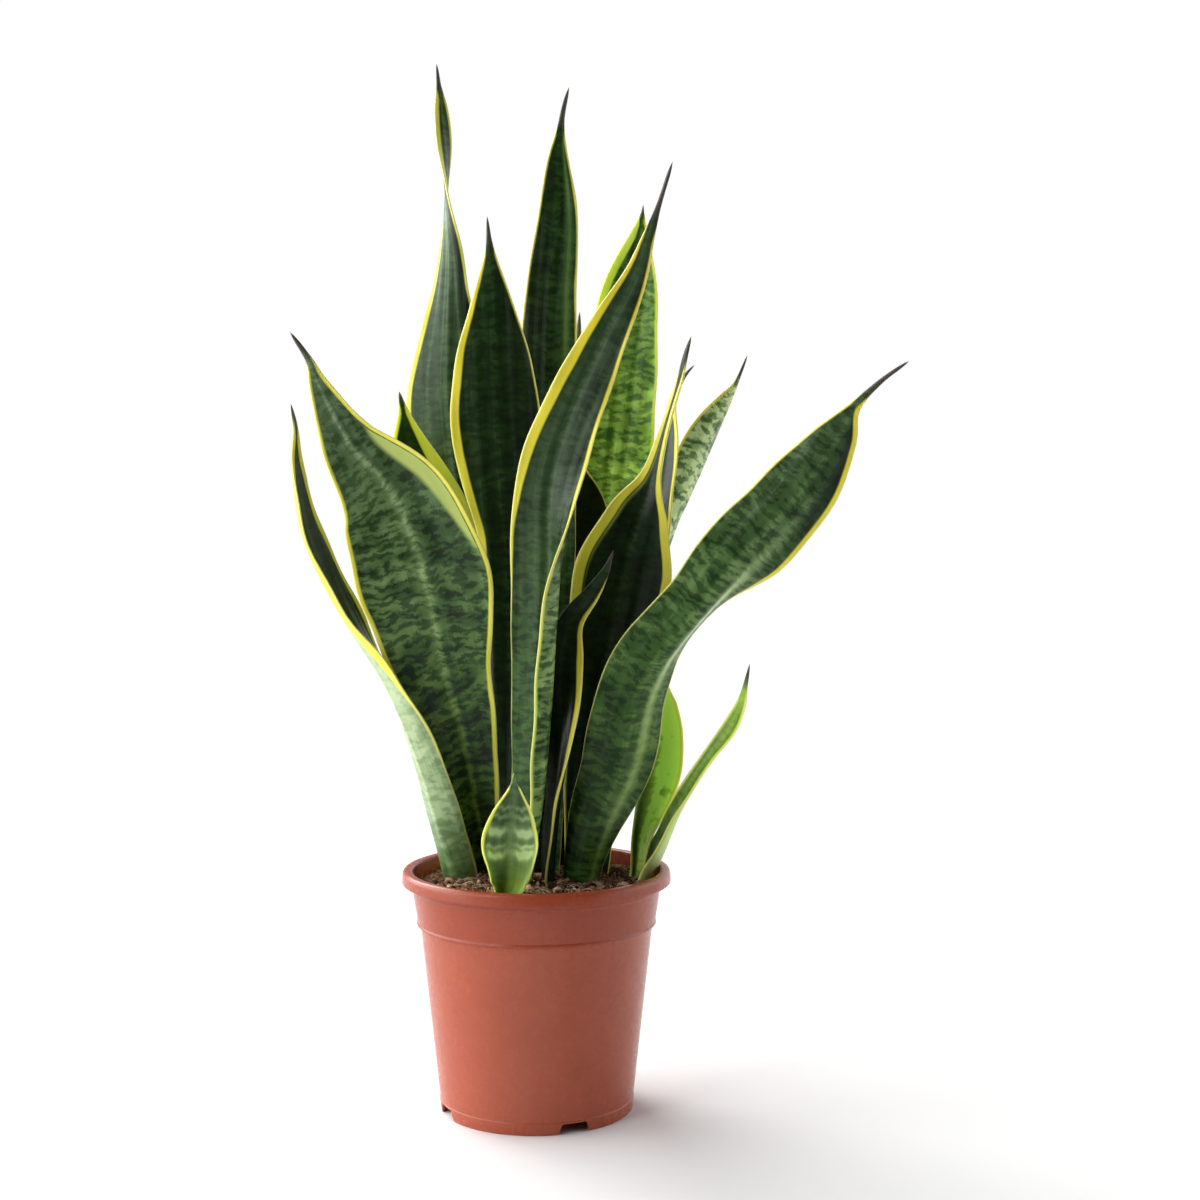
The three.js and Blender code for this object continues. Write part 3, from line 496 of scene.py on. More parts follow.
LOOKS["leaf_centre_left"] = {
    "upper": (2.5, 1.5, (0.6, 0.5, 0.35), (0.7, 0.6, 0.3)),
    "back": ((-1.5, -1, 0.6, 0.6, 0.3), (-1.5, -1.5, -1.5, -0.5, 4.8, 5.4, 4.5, 2.5, 0.6, 0.3, 0),
        (0.15, 0.16, 0.25), (0.3, 0.35, 0.2)),
    "lime": (0.3, 0.15), "warm": (0.3, 0.1),
    # painted light: the half that faces the light is made lighter
    "accents": ((0.55, 0.35, (0, 0.08, 0.16)),),
}
LOOKS["leaf_centre_front"] = {
    "upper": ((-0.4, -0.4, -0.4, -0.3, 0, 1.6, 5.4, 5.8, 2.4, 0.6, 0, 0),
        (0.8, 1.5, 2, 2, 1.8, 1, 0.2, 0), (0.3, 0.33, 0.33), (0.6, 0.3, 0.1)),
    "back": (0.6, (0.8, 1, 1.1, 1.6, 1), (0.54, 0.58, 0.57, 0.5, 0.4), (0.9, 0.9, 0.8, 0.4)),
    "lime": (1, 1, 0.4, 0, 0), "warm": (0.7, 0.5, 0.05, 0, 0),
    "accents": ((-0.3, 0.5, (0, 0.1, 0.12)),),
}
LOOKS["leaf_tall_centre"] = {
    "upper": ((-1.5, -1, 0.2, 0.3, 0), (-1.5, -1, 0.5, 0.5, 0.1), (0.34, 0.24, 0.17), (0.6, 0.4, 0.2)),
    "back": (2, 2, (0.6, 0.5, 0.4), (0.8, 0.7, 0.4)),
    "lime": (0.35,), "warm": (0.45, 0.4, 0.3),
    # painted sheen: the light streak on one half
    "accents": ((0.62, 0.2, (0, 0.2, 0.42, 0.4, 0.1)),),
}
LOOKS["leaf_bright_back"] = {
    "upper": ((-1.5, 0, 3.5, 5.5, 4), 1.2, (0.8, 0.76, 0.73, 0.6, 0.35), (0.8, 0.75, 0.7, 0.6, 0.4)),
    "back": (5, 2, (0.85, 0.8, 0.5), (0.6, 0.6, 0.3)),
    "lime": (1,), "warm": (0.9,),
    "accents": ((-0.3, 0.55, (0, 0, -0.05, -0.35, -0.65)), (-0.8, 0.3, (0, 0, 0.1, 0.1, 0.1))),
}
LOOKS["leaf_slender_back"] = {
    "upper": (2, 2, (0.3, 0.25, 0.15), (0.6, 0.4, 0.2)),
    "back": (2, 2, (0.6, 0.5, 0.4), (0.8, 0.7, 0.3)),
    "lime": (0.3,), "warm": (0.3,),
}
LOOKS["leaf_folded_right"] = {
    "upper": ((-1.5, -1.5, 1.5, 5, 6.5, 6, 4, 2.2, 1.2, 0.6, 0.3),
        (-1.5, -1.5, 1, 4, 5.5, 6, 5, 3, 1.6, 0.8, 0.3), (0.16, 0.15, 0.2), (0.3, 0.3, 0.15)),
    "back": (4, 4, (0.5, 0.5, 0.4), (0.7, 0.7, 0.3)),
    "lime": (0.4,), "warm": (0.3, 0.05), "stripe": (-1, 3.2, 0.3, 0.75),
}
LOOKS["leaf_narrow_right"] = {
    "upper": ((-1.5, -1.5, 0, 3, 3), (-1.5, -1.5, 2, 4.5, 4), (0.15, 0.2, 0.2), (0.3, 0.2, 0.1)),
    "back": (3, 3, (0.6, 0.6, 0.4), (0.7, 0.7, 0.4)),
    "lime": (0.3,), "warm": (0.2,),
}
LOOKS["leaf_channelled_right"] = {
    "upper": (3, 3, (0.3, 0.25, 0.2), (0.5, 0.4, 0.2)),
    "back": (0.8, 1.2, (0.66, 0.88, 0.76), (0.9, 1.1, 0.8)),
    "lime": (0.3,), "warm": (0.4,),
}
LOOKS["leaf_arching_right"] = {
    "upper": (5, 3, (0.2, 0.2, 0.15), (0.5, 0.4, 0.2)),
    "back": ((-0.3, 0, 0.6, 2, 2.6, 2.8, 1.5), (-0.5, -0.3, -0.1, 0.5, 0.5),
        (0.36, 0.43, 0.54, 0.46, 0.42), (0.55, 0.6, 0.65, 0.5, 0.4)),
    "lime": (1, 0.7, 0.2, 0.1), "warm": (0.6, 0.5, 0.35, 0.15, 0.1),
    # painted highlight: the light streak by the keel; the half beyond it darkens towards the tip, partly own
    # colour and partly painted shade where it turns away
    "accents": ((-0.42, 0.18, (0.2, 0.35, 0.42, 0.15, 0)), (-0.6, 0.35, (0.1, 0.12, 0, -0.3, -0.35)),
        (0.3, 0.5, (-0.12, -0.08, 0))),
}
LOOKS["leaf_front_pup"] = {
    "upper": ((-1.5, -1.2, -0.6, 0.5, 2, 0.9, 0.2, 0), (-1.5, -1.5, -0.9, 0.6, 1.8, 0.8, 0.2, 0),
        (0.6, 0.58, 0.55, 0.5, 0.5, 0.5), (0.1, 0.15, 0.2)),
    "back": (2, 2, (0.6, 0.7, 0.5), (0.3, 0.8, 0.5)),
    "lime": (0.9,), "warm": (1, 1, 0.3, 0.15, 0.1),
    "accents": ((0.6, 0.5, (0.3, 0.18, 0, 0)), (-0.9, 0.2, (0.1, 0.15, 0, 0)),
        (0.95, 0.15, (0.2, 0.2, 0, 0))),
}
LOOKS["leaf_inner_short"] = {
    "upper": ((-1.5,), (-0.2, 0, 1.4, 3, 3.3, 1.6, -0.2, -0.3, -0.5), (0.05, 0.15, 0.5),
        (0.3, 0.25, 0.1)),
    "back": ((-1.5,), (-0.2, 0, 1.4, 3, 3.3, 1.6, -0.2, -0.3, -0.5), (0.05, 0.2, 0.5), (0.4, 0.3)),
    "lime": (0.5, 0.2, 0.1), "warm": (0.05,),
}
LOOKS["leaf_hidden_centre"] = {
    "upper": ((-1.5, -1.5, -1.5, 2, 3), (-1.5, -1.5, -1.5, 2, 3), (0.1, 0.08, 0.1), (0.3, 0.2, 0.1)),
    "back": (2, 2, (0.5, 0.5, 0.4), (0.7, 0.6, 0.3)),
    "lime": (0.3,), "warm": (0.2,),
}
LOOKS["leaf_right_pup_upright"] = {
    "upper": (0.3, 1.4, (0.7, 0.92, 1, 1.05, 1), (0.25, 0.4, 0.25)),
    "back": (1.5, 2, (0.6, 0.8, 0.7), (0.2, 0.4, 0.3)),
    "lime": (1,), "warm": (1,),
    # painted shade: the darker half of this pup
    "accents": ((-0.7, 0.38, (-0.5, -0.5, -0.3, -0.15, 0)), (0.05, 0.14, (0, 0.12, 0.15, 0, 0)),
        (0.8, 0.35, (0, 0.15, 0.25))),
}
LOOKS["leaf_right_pup_leaning"] = {
    "upper": (1, 1, (0.6, 0.6, 0.7, 0.8), (0.2, 0.2, 0.1)),
    "back": (0.8, 1.2, (1.15, 1.2, 1.2, 1.15, 1.05), (0.2, 0.2, 0.2)),
    "lime": (1,), "warm": (0.3, 0.5, 0.9, 1, 1),
}
YELLOW_ALONG = (0.35, 0.72, 0.94, 0.97, 0.75)  # of a width that is given as one number
PALE_BANDS = {  # height of a clear cross-band in mm, its half height, how much lighter it is
    "leaf_front_pup": (
        (173.5, 3.2, 0.5), (179, 1.5, 0.35), (187.6, 3.6, 0.55), (197, 1.6, 0.35), (202.3, 1.3, 0.35),
    ),
}
BAND_GAP, GAP_WIDTH = 0.75, 0.22  # how much weaker such a band is at the midrib, and how far
YELLOW_END = (4, 1.5)  # mm of half width between which the yellow ends before the tip
NO_YELLOW = 1.5  # mm past the margin that the border lies where there is no yellow
WIDEST_YELLOW = 0.7  # share of a half
DRY_WIDTHS = (1.0, 2.6)  # mm of half width between which the tip turns from dry to fresh
FRESH_TIPS = ("leaf_front_pup", "leaf_right_pup_upright")
PATTERN_SHIFT = 400  # mm between the parts of the pattern that two leaves use


def face_paint(face, share, half_width, edge, side):
    """What one face of a leaf stores: the distance from the border of the yellow in mm, the
    lightness, and the strength of the bands."""
    widths = [w if isinstance(w, tuple) else w * np.array(YELLOW_ALONG) for w in face[:2]]
    width = np.where(side < 0, spread(share, widths[0]), spread(share, widths[1]))
    width = np.minimum(width, WIDEST_YELLOW * half_width) - NO_YELLOW * smoothstep(*YELLOW_END, half_width)
    return edge - width, spread(share, face[2]) + 0 * edge, spread(share, face[3]) + 0 * edge


def accents(name, share, across, height):
    """How much lighter a leaf is in lengthwise streaks and in clear cross-bands. Some streaks are
    the leaf's own tone, some are painted sheen along a fold or a ridge, and some are painted shade
    on a half that turns away from the light; the cross-bands are the leaf's own pattern. Both fade
    by exp(-d^2). A cross-band waves, and is weak at the midrib and at the margins."""
    total = 0 * across
    for place, width, change in LOOKS[name].get("accents", ()):
        total += spread(share, change) * np.exp(-(((across - place) / width) ** 2))
    lobes = (1 - BAND_GAP * np.exp(-((across / GAP_WIDTH) ** 2))) * smoothstep(1, 0.75, abs(across))
    for middle, half, change in PALE_BANDS.get(name, ()):
        wave = 0.9 * np.cos(7 * across) + 0.5 * np.sin(19 * across + middle)
        total += change * lobes * np.exp(-(((height - middle - wave) / half) ** 2))
    return total


print("looks for", len(LOOKS), "leaves")

# %% [markdown]
# ## Leaves: the finish
# A snake plant leaf has a thick cuticle of wax. To the eye that gives a satin gloss that runs in
# streaks, because the surface is finely channelled along the blade. The cross-bands are built
# the way they look up close: rows of cells lie along the leaf, and each row carries the band a
# little higher or lower than the next, which makes the edge of a band jagged. Wax has an index
# of refraction of about 1.45, and a little light goes through the flesh.

# %% The leaf material
ROW_WIDTH, ROW_LENGTH = 1.0, 30.0  # mm, a row of cells; the real ones are finer, but would not show
STROKE_LENGTH, STROKE_PERIOD = 9.0, 3.9  # mm across and along the leaf, the dark strokes
GROUP_LENGTH, GROUP_PERIOD = 34.0, 13.0  # mm, the lighter and darker groups of strokes
STREAK_WIDTH, STREAK_LENGTH = 6.0, 190.0  # mm, the lighter and darker streaks along the blade
JAG = 2.2  # mm that neighbouring rows shift a stroke
SWING, SWING_LENGTH, SWING_PERIOD = 7.0, 12, 26  # mm that a row of strokes wanders, and over what
STROKE_STEP = (0.4, 0.56, -0.26, 0.14)  # the noise from and to, and the lightness that it gives
GROUP_STEP = (0.34, 0.62, -0.16, 0.14)
MIDRIB_STEP = (0.5, 4.0, -0.09, -0.19)  # mm off the midrib from and to, and the lightness there
STREAK_LIGHT, ROW_LIGHT = 0.26, 0.12  # lightness that streaks and rows of cells add
BORDER_STEP = (1.5, 0.0)  # mm inside the border where the yellow starts and is full
CREAM_STEP = (1.0, 0.2, 0, 0.3)  # mm from the margin from and to, and the share of cream
# the light end of the cool greens is grey: partly the leaf's own colour, partly painted sheen of the wax
COOL_GREENS = ((0, "#050E05"), (0.25, "#182A12"), (0.5, "#394E32"), (0.75, "#647D5A"), (1, "#AABB9C"))
WARM_GREENS = (
    (0, "#0D2206"), (0.25, "#1F430C"), (0.5, "#47751E"), (0.75, "#85A93C"), (0.9, "#A8CC50"), (1, "#CFEE78"),
)
YELLOWS = ((0, "#F0DC3A"), (0.4, "#EEE64C"), (1, "#C2CE5A"))
CREAM, PALE_STRIPE_AND_HIGHLIGHT, DRY_BROWN = "#FAF6C0", "#B2C266", "#4E4A42"


def leaf_material(name, roughness, flesh_light, flesh_depth):
    """The finish of a leaf. flesh_light is the share of light that goes through the flesh, and
    flesh_depth how far in mm it gets."""
    material, add = new_material(name)
    blade = add("Attribute", attribute_name="blade").outputs["Vector"]
    margin = add("Attribute", attribute_name="margin")
    paint = add("Attribute", attribute_name="paint")
    inside, edge, stripe = add("SeparateColor", (margin,)).outputs[0:3]
    tone, bands, warm = add("SeparateColor", (paint,)).outputs[0:3]
    lime, dry = margin.outputs["Alpha"], paint.outputs["Alpha"]

    def spots(vector, length, period, detail):
        """A pattern whose spots are length mm across the leaf and period mm along it."""
        place = add("Mapping", {"Vector": vector, "Scale": (1 / length, 1 / period, 1)})
        return add("TexNoise", {"Vector": place, "Scale": 1, "Detail": detail})

    # rows of cells along the leaf, and the slow wander of a row of strokes
    rows = spots(blade, ROW_WIDTH, ROW_LENGTH, 1)
    swing = spots(blade, SWING_LENGTH, SWING_PERIOD, 1)
    jag = add("Math", (rows, JAG), operation="MULTIPLY")
    wander = add("Math", (swing, SWING, jag), operation="MULTIPLY_ADD")
    shifted = add("VectorMath", (blade, add("CombineXYZ", {1: wander})))

    # dark strokes, in groups
    stroke = add("MapRange", (spots(shifted, STROKE_LENGTH, STROKE_PERIOD, 2), *STROKE_STEP), **SMOOTH)
    group = add("MapRange", (spots(shifted, GROUP_LENGTH, GROUP_PERIOD, 1), *GROUP_STEP), **SMOOTH)
    pattern = add("Math", (stroke, group))

    # how light the green is: tone + bands * pattern, with streaks and a pale line at the midrib
    banded = add("Math", (pattern, bands, tone), operation="MULTIPLY_ADD")
    streaks = spots(blade, STREAK_WIDTH, STREAK_LENGTH, 2)
    streaked = add("Math", (streaks, STREAK_LIGHT, banded), operation="MULTIPLY_ADD")
    level = add("Math", (rows, ROW_LIGHT, streaked), operation="MULTIPLY_ADD")
    off_midrib = add("Math", (add("SeparateXYZ", (blade,)),), operation="ABSOLUTE")
    midrib = add("MapRange", (off_midrib, *MIDRIB_STEP), **SMOOTH)
    centred = add("Math", (level, midrib))
    cool, fresh = add("ValToRGB", (centred,)), add("ValToRGB", (centred,))
    set_stops(cool, COOL_GREENS)
    set_stops(fresh, WARM_GREENS)
    green = add("Mix", {0: warm, 6: cool, 7: fresh}, **COLOURS).outputs[2]

    # the yellow margin, with a cream line at its very edge, and the pale stripe inside it, partly the leaf's
    # paler green and partly a painted highlight where the margin rolls
    ragged = add("Math", (swing, 0.9, inside), operation="MULTIPLY_ADD")
    yellow = add("ValToRGB", (lime,))
    set_stops(yellow, YELLOWS)
    cream = add("MapRange", (edge, *CREAM_STEP), **SMOOTH)
    pale = add("Mix", {0: cream, 6: yellow, 7: linear(CREAM)}, **COLOURS).outputs[2]
    from_stripe = add("Math", (stripe, inside), operation="SUBTRACT")
    stripe_end = add("MapRange", (from_stripe, -2, 2.5), **SMOOTH)
    stripe_start = add("MapRange", (ragged, 1.3, 2.0), **SMOOTH)
    striped = add("Math", (stripe_end, stripe_start), operation="MULTIPLY")
    green = add("Mix", {0: striped, 6: green, 7: linear(PALE_STRIPE_AND_HIGHLIGHT)}, **COLOURS).outputs[2]
    border = add("MapRange", (ragged, *BORDER_STEP), **SMOOTH)
    margined = add("Mix", {0: border, 6: green, 7: pale}, **COLOURS).outputs[2]
    dried = add("Mix", {0: dry, 6: margined, 7: linear(DRY_BROWN)}, **COLOURS).outputs[2]

    surface = add("BsdfPrincipled", {
        "Base Color": dried,
        "Roughness": add("Math", (rows, 0.16, roughness), operation="MULTIPLY_ADD"),
        "IOR": 1.45,
        "Specular IOR Level": 0.3,
        "Normal": add("Bump", {"Height": rows, "Distance": 0.00016, "Strength": 0.6}),
        "Subsurface Weight": flesh_light,
        "Subsurface Radius": (0.9, 1.0, 0.4),
        "Subsurface Scale": flesh_depth * MM,
    })
    add("OutputMaterial", (surface,))
    return material


LEAF_FINISHES = {
    "leaf_variegated": leaf_material("Mature leaf, waxy cuticle", 0.28, 0.05, 1.0),
    "leaf_bright": leaf_material("Young leaf, waxy cuticle", 0.32, 0.85, 4.0),
}
YOUNG = (
    "leaf_young_left", "leaf_bright_back", "leaf_front_pup",
    "leaf_right_pup_upright", "leaf_right_pup_leaning",
)
print("leaf finishes:", list(LEAF_FINISHES))


# %% Build every leaf
BROAD_STRIPS, NARROW_STRIPS = 40, 24  # strips across a leaf; broad is over 15 mm of half width


def build_leaf(name, number):
    """One leaf: its surface, the numbers that its paint needs, and its finish."""
    rows = smooth_rows(LEAVES[name])
    strips = BROAD_STRIPS if rows[:, 3].max() > 15 else NARROW_STRIPS
    upper, lower, rims, edge, reach = blade_shape(rows, strips, number * 2.4, KEELED.get(name, 0))
    points = blade_rings(upper, lower, rims)
    count = points.shape[1]
    caps = (*cap_faces(strips, 0), *(f[:, ::-1] for f in cap_faces(strips, (len(rows) - 1) * count)))
    slot = "leaf_bright" if name in YOUNG else "leaf_variegated"
    piece = new_piece(name + "_blade", points, (tube_faces(len(rows), count), *caps), LEAF_FINISHES[slot])

    look = LOOKS[name]
    share, length, half_width = rows[:, 7:8], rows[:, 8:9], rows[:, 3:4]
    side = np.sign(reach + 1e-9)
    stripe_side, stripe_width, first, last = look.get("stripe", (0, 0, 0, 1))
    along_stripe = np.clip((share - first) / (last - first), 0, 1)
    stripe = np.where(side == stripe_side, stripe_width * np.sin(np.pi * along_stripe) - 1, -1)
    across = reach / reach.max(axis=1, keepdims=True)
    # lighter holds streaks of own tone, painted sheen and painted shade, and the pale cross-bands
    lighter = accents(name, share, across, rows[:, 2:3])
    lime, warm = (spread(share, look[key]) + 0 * edge for key in ("lime", "warm"))
    # where any streak is strong, whether own tone, painted sheen or painted shade, the bands fade
    calm = 1 - np.clip(2.2 * abs(lighter), 0, 0.8)  # streaks cover the bands
    dry = (name not in FRESH_TIPS) * (1 - smoothstep(*DRY_WIDTHS, half_width)) + 0 * edge
    sheets = []
    for face in (look["upper"], look["back"]):
        inside, tone, bands = face_paint(face, share, half_width, edge, side)
        sheets.append(np.stack([inside, edge, stripe, lime, tone + lighter, bands * calm, warm, dry], -1))
    values = blade_rings(sheets[0], sheets[1], (sheets[0] + sheets[1]) / 2)
    set_attribute(piece, "margin", "FLOAT_COLOR", values[..., :4])
    set_attribute(piece, "paint", "FLOAT_COLOR", values[..., 4:])
    place = np.stack([reach, length + 0 * reach + number * PATTERN_SHIFT, 0 * reach], -1)
    set_attribute(piece, "blade", "FLOAT_VECTOR", blade_rings(place, place, place))
    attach(piece, "root")
    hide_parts(name)
    return len(piece.data.polygons)


faces = {name: build_leaf(name, number) for number, name in enumerate(LEAVES)}
print("faces in all leaves:", sum(faces.values()))

# %% [markdown]
# ## The pot: shape
# A nursery pot is moulded from one thin wall, so it is a profile turned round an axis: a tapered
# body, a step, a collar that flares a little, and a lip that rolls outwards and hangs down. The
# profile is a short list of corners, each with the radius that rounds it off. The notches in the
# foot and the drain holes are then cut with booleans, as the core of a mould does.

# %% The pot's corners
POT_HEIGHT = 153
RIM_RADIUS = 85
COLLAR_TOP_RADIUS = 80
COLLAR_FOOT_RADIUS = 75.3
BODY_TOP_RADIUS = 73.6
BASE_RADIUS = 61
POT_WALL = 1.6
LIP_DEPTH = 8
COLLAR_BOTTOM = 119
DISC_RADIUS = 38
CHANNEL_HEIGHT = 7
FLOOR_THICKNESS = 1.8
POT_SIDES = 192


def body_radius(z):
    """Outside of the body: a straight taper from the foot to the step."""
    return BASE_RADIUS + (BODY_TOP_RADIUS - BASE_RADIUS) * z / COLLAR_BOTTOM


def collar_radius(z):
    """Outside of the collar: a straight taper from the step to the rim."""
    share = (z - COLLAR_BOTTOM) / (POT_HEIGHT - COLLAR_BOTTOM)
    return COLLAR_FOOT_RADIUS + (COLLAR_TOP_RADIUS - COLLAR_FOOT_RADIUS) * share


def inner_radius(z):
    """Inside of the wall."""
    return (collar_radius(z) if z > COLLAR_BOTTOM else body_radius(z)) - POT_WALL


LIP_BOTTOM = POT_HEIGHT - LIP_DEPTH
BEAD_HEIGHT = 7.5  # mm, the faint line where the foot meets the body
RIDGE_HEIGHT = LIP_BOTTOM - 3.2  # mm, a small ridge on the collar under the lip
FLOOR_TOP = CHANNEL_HEIGHT + FLOOR_THICKNESS
POT_CORNERS = (
    # radius, height, rounding
    (0.01, 0, 0),
    (DISC_RADIUS, 0, 1.2),
    (DISC_RADIUS + 3, CHANNEL_HEIGHT, 1.2),
    (inner_radius(CHANNEL_HEIGHT), CHANNEL_HEIGHT, 0.8),
    (inner_radius(0), 0, 0.5),
    (body_radius(0), 0, 0.9),
    (body_radius(BEAD_HEIGHT), BEAD_HEIGHT, 0.3),
    (body_radius(BEAD_HEIGHT) - 0.35, BEAD_HEIGHT + 0.5, 0.3),
    (body_radius(COLLAR_BOTTOM - 1.2) - 0.1, COLLAR_BOTTOM - 1.2, 0.7),
    (collar_radius(COLLAR_BOTTOM) + 0.5, COLLAR_BOTTOM, 0.3),
    (collar_radius(COLLAR_BOTTOM) + 0.5, COLLAR_BOTTOM + 0.9, 0.3),
    (collar_radius(COLLAR_BOTTOM), COLLAR_BOTTOM + 1.7, 0.4),
    (collar_radius(RIDGE_HEIGHT - 0.8), RIDGE_HEIGHT - 0.8, 0.4),
    (collar_radius(RIDGE_HEIGHT) + 0.9, RIDGE_HEIGHT, 0.4),
    (collar_radius(LIP_BOTTOM + 4.5) + 0.6, LIP_BOTTOM + 4.5, 0.8),
    (RIM_RADIUS - POT_WALL, LIP_BOTTOM + 4.5, 0.8),
    (RIM_RADIUS - POT_WALL, LIP_BOTTOM, 0.6),
    (RIM_RADIUS, LIP_BOTTOM, 0.7),
    (RIM_RADIUS - 0.5, POT_HEIGHT, 2.6),
    (inner_radius(POT_HEIGHT), POT_HEIGHT, 1.6),
    (inner_radius(COLLAR_BOTTOM + 2), COLLAR_BOTTOM + 2, 1.2),
    (inner_radius(COLLAR_BOTTOM - 2), COLLAR_BOTTOM - 2, 1.2),
    (inner_radius(FLOOR_TOP), FLOOR_TOP, 1.5),
    (DISC_RADIUS + 1.8, FLOOR_TOP, 1.2),
    (DISC_RADIUS - 1.2, FLOOR_THICKNESS, 1.0),
    (0.01, FLOOR_THICKNESS, 0),
)
ARC_POINTS = 7


def rounded_profile(corners):
    """The corners joined by straight lines, each corner replaced by a curve between the two
    points that lie its rounding away from it: (1 - t)^2 p + 2t(1 - t) q + t^2 r."""
    q = np.array(corners, float)
    back, on = np.roll(q, 1, 0)[:, :2] - q[:, :2], np.roll(q, -1, 0)[:, :2] - q[:, :2]
    shorter = np.minimum(np.linalg.norm(back, axis=1), np.linalg.norm(on, axis=1))
    rounding = np.minimum(q[:, 2], 0.45 * shorter)
    p = (q[:, :2] + unit(back) * rounding[:, None])[:, None]
    r = (q[:, :2] + unit(on) * rounding[:, None])[:, None]
    t = np.linspace(0, 1, ARC_POINTS)[None, :, None]
    curve = (1 - t) ** 2 * p + 2 * t * (1 - t) * q[:, None, :2] + t**2 * r
    return np.concatenate([curve[i] if rounding[i] else q[i : i + 1, :2] for i in range(len(q))])


def turned(profile, sides):
    """Rings of points round the axis, one for each point of the profile."""
    angle = np.linspace(0, 2 * np.pi, sides, endpoint=False)
    r, z = profile[:, 0, None], profile[:, 1, None]
    return np.stack([r * np.cos(angle), r * np.sin(angle), z + 0 * angle], -1)


profile = rounded_profile(POT_CORNERS)
print("points in the pot's profile:", len(profile))

# %% [markdown]
# ## The pot: finish
# Nursery pots are injection moulded from polypropylene that is coloured through in terracotta.
# The surface is satin, with a soft reflection of the lights, an index of refraction of 1.49, and
# a faint cloudiness where the pigment is uneven. Handling leaves a dusting of fine scuffs.

# %% The terracotta plastic
TERRACOTTA = ((0.3, "#A04D35"), (0.5, "#A34F37"), (0.7, "#A65139"))
CLOUD_SIZE = 28.0  # mm
COLLAR_SHADE_COLOUR, COLLAR_SHADE_SHARE = "#862D14", 0.38  # colour and share of painted shade on the collar, for the shade under the lip and the leaves
SCUFF_SIZE = 9  # mm
GLOSS_RANGE = (0.2, 0.34)  # roughness from the cleanest to the most scuffed


def plastic_material():
    """Polypropylene, coloured through, with a moulded satin skin."""
    material, add = new_material("Terracotta polypropylene, moulded satin")
    place = add("TexCoord").outputs["Object"]
    cloud = add("TexNoise", {"Vector": place, "Scale": 1 / (CLOUD_SIZE * MM), "Detail": 3})
    colour = add("ValToRGB", (cloud,))
    set_stops(colour, TERRACOTTA)
    height = add("SeparateXYZ", (place,)).outputs[2]
    # painted shade: from the step up, the colour is mixed towards the darker brown, standing in for the
    # shade under the lip and the leaves
    painted_collar_shade = add("MapRange", (height, (COLLAR_BOTTOM - 1) * MM, COLLAR_BOTTOM * MM, 0, COLLAR_SHADE_SHARE))
    shaded = add("Mix", {0: painted_collar_shade, 6: colour, 7: linear(COLLAR_SHADE_COLOUR)}, **COLOURS).outputs[2]
    scuff = add(
        "TexNoise", {"Vector": place, "Scale": 1 / (SCUFF_SIZE * MM), "Detail": 6, "Roughness": 0.7}
    )
    surface = add("BsdfPrincipled", {
        "Base Color": shaded,
        "Roughness": add("MapRange", (scuff, 0, 1, *GLOSS_RANGE)),
        "IOR": 1.49,
        "Specular IOR Level": 0.34,
        "Normal": add("Bump", {"Height": cloud, "Distance": 0.0002, "Strength": 0.2}),
        "Subsurface Weight": 0.05,
        "Subsurface Radius": (1.0, 0.4, 0.25),
        "Subsurface Scale": 1 * MM,
    })
    add("OutputMaterial", (surface,))
    return material


PLASTIC = plastic_material()

# %% Turn the pot and cut its openings
NOTCH_COUNT = 4
NOTCH_WIDTH = 17
NOTCH_SPLAY = 2.5
NOTCH_HEIGHT = 6.6
NOTCH_TURN = np.radians(22)
NOTCH_CORNER = 1.2  # mm, the rounded upper corners
DRAIN_COUNT = 8
DRAIN_RADIUS = 4.5
DRAIN_CIRCLE = 50
DRAIN_SIDES = 32
SHARP_ANGLE = 38  # degrees between two faces from which an edge is shaded sharp


def prism(outline, low, high):
    """A solid with that outline in x and z, from y low to y high."""
    x, z = np.array(outline, float).T
    ends = [np.stack([x, np.full(len(x), y), z], -1) for y in (low, high)]
    return np.concatenate(ends), len(x)


def turn_about_z(points, angle):
    """The points turned about the axis of the pot."""
    c, s = np.cos(angle), np.sin(angle)
    return points @ np.array([[c, s, 0], [-s, c, 0], [0, 0, 1]])


def close_up(piece):
    """Welds double points, and turns the faces of a closed mesh so that they point outwards."""
    work = bmesh.new()
    work.from_mesh(piece.data)
    bmesh.ops.remove_doubles(work, verts=work.verts, dist=1e-6)
    bmesh.ops.recalc_face_normals(work, faces=work.faces)
    work.to_mesh(piece.data)
    work.free()


def cutter(name, points, count):
    """A closed prism that the boolean takes away."""
    piece = new_piece(name, points, closed_tube(2, count), PLASTIC)
    close_up(piece)
    return piece


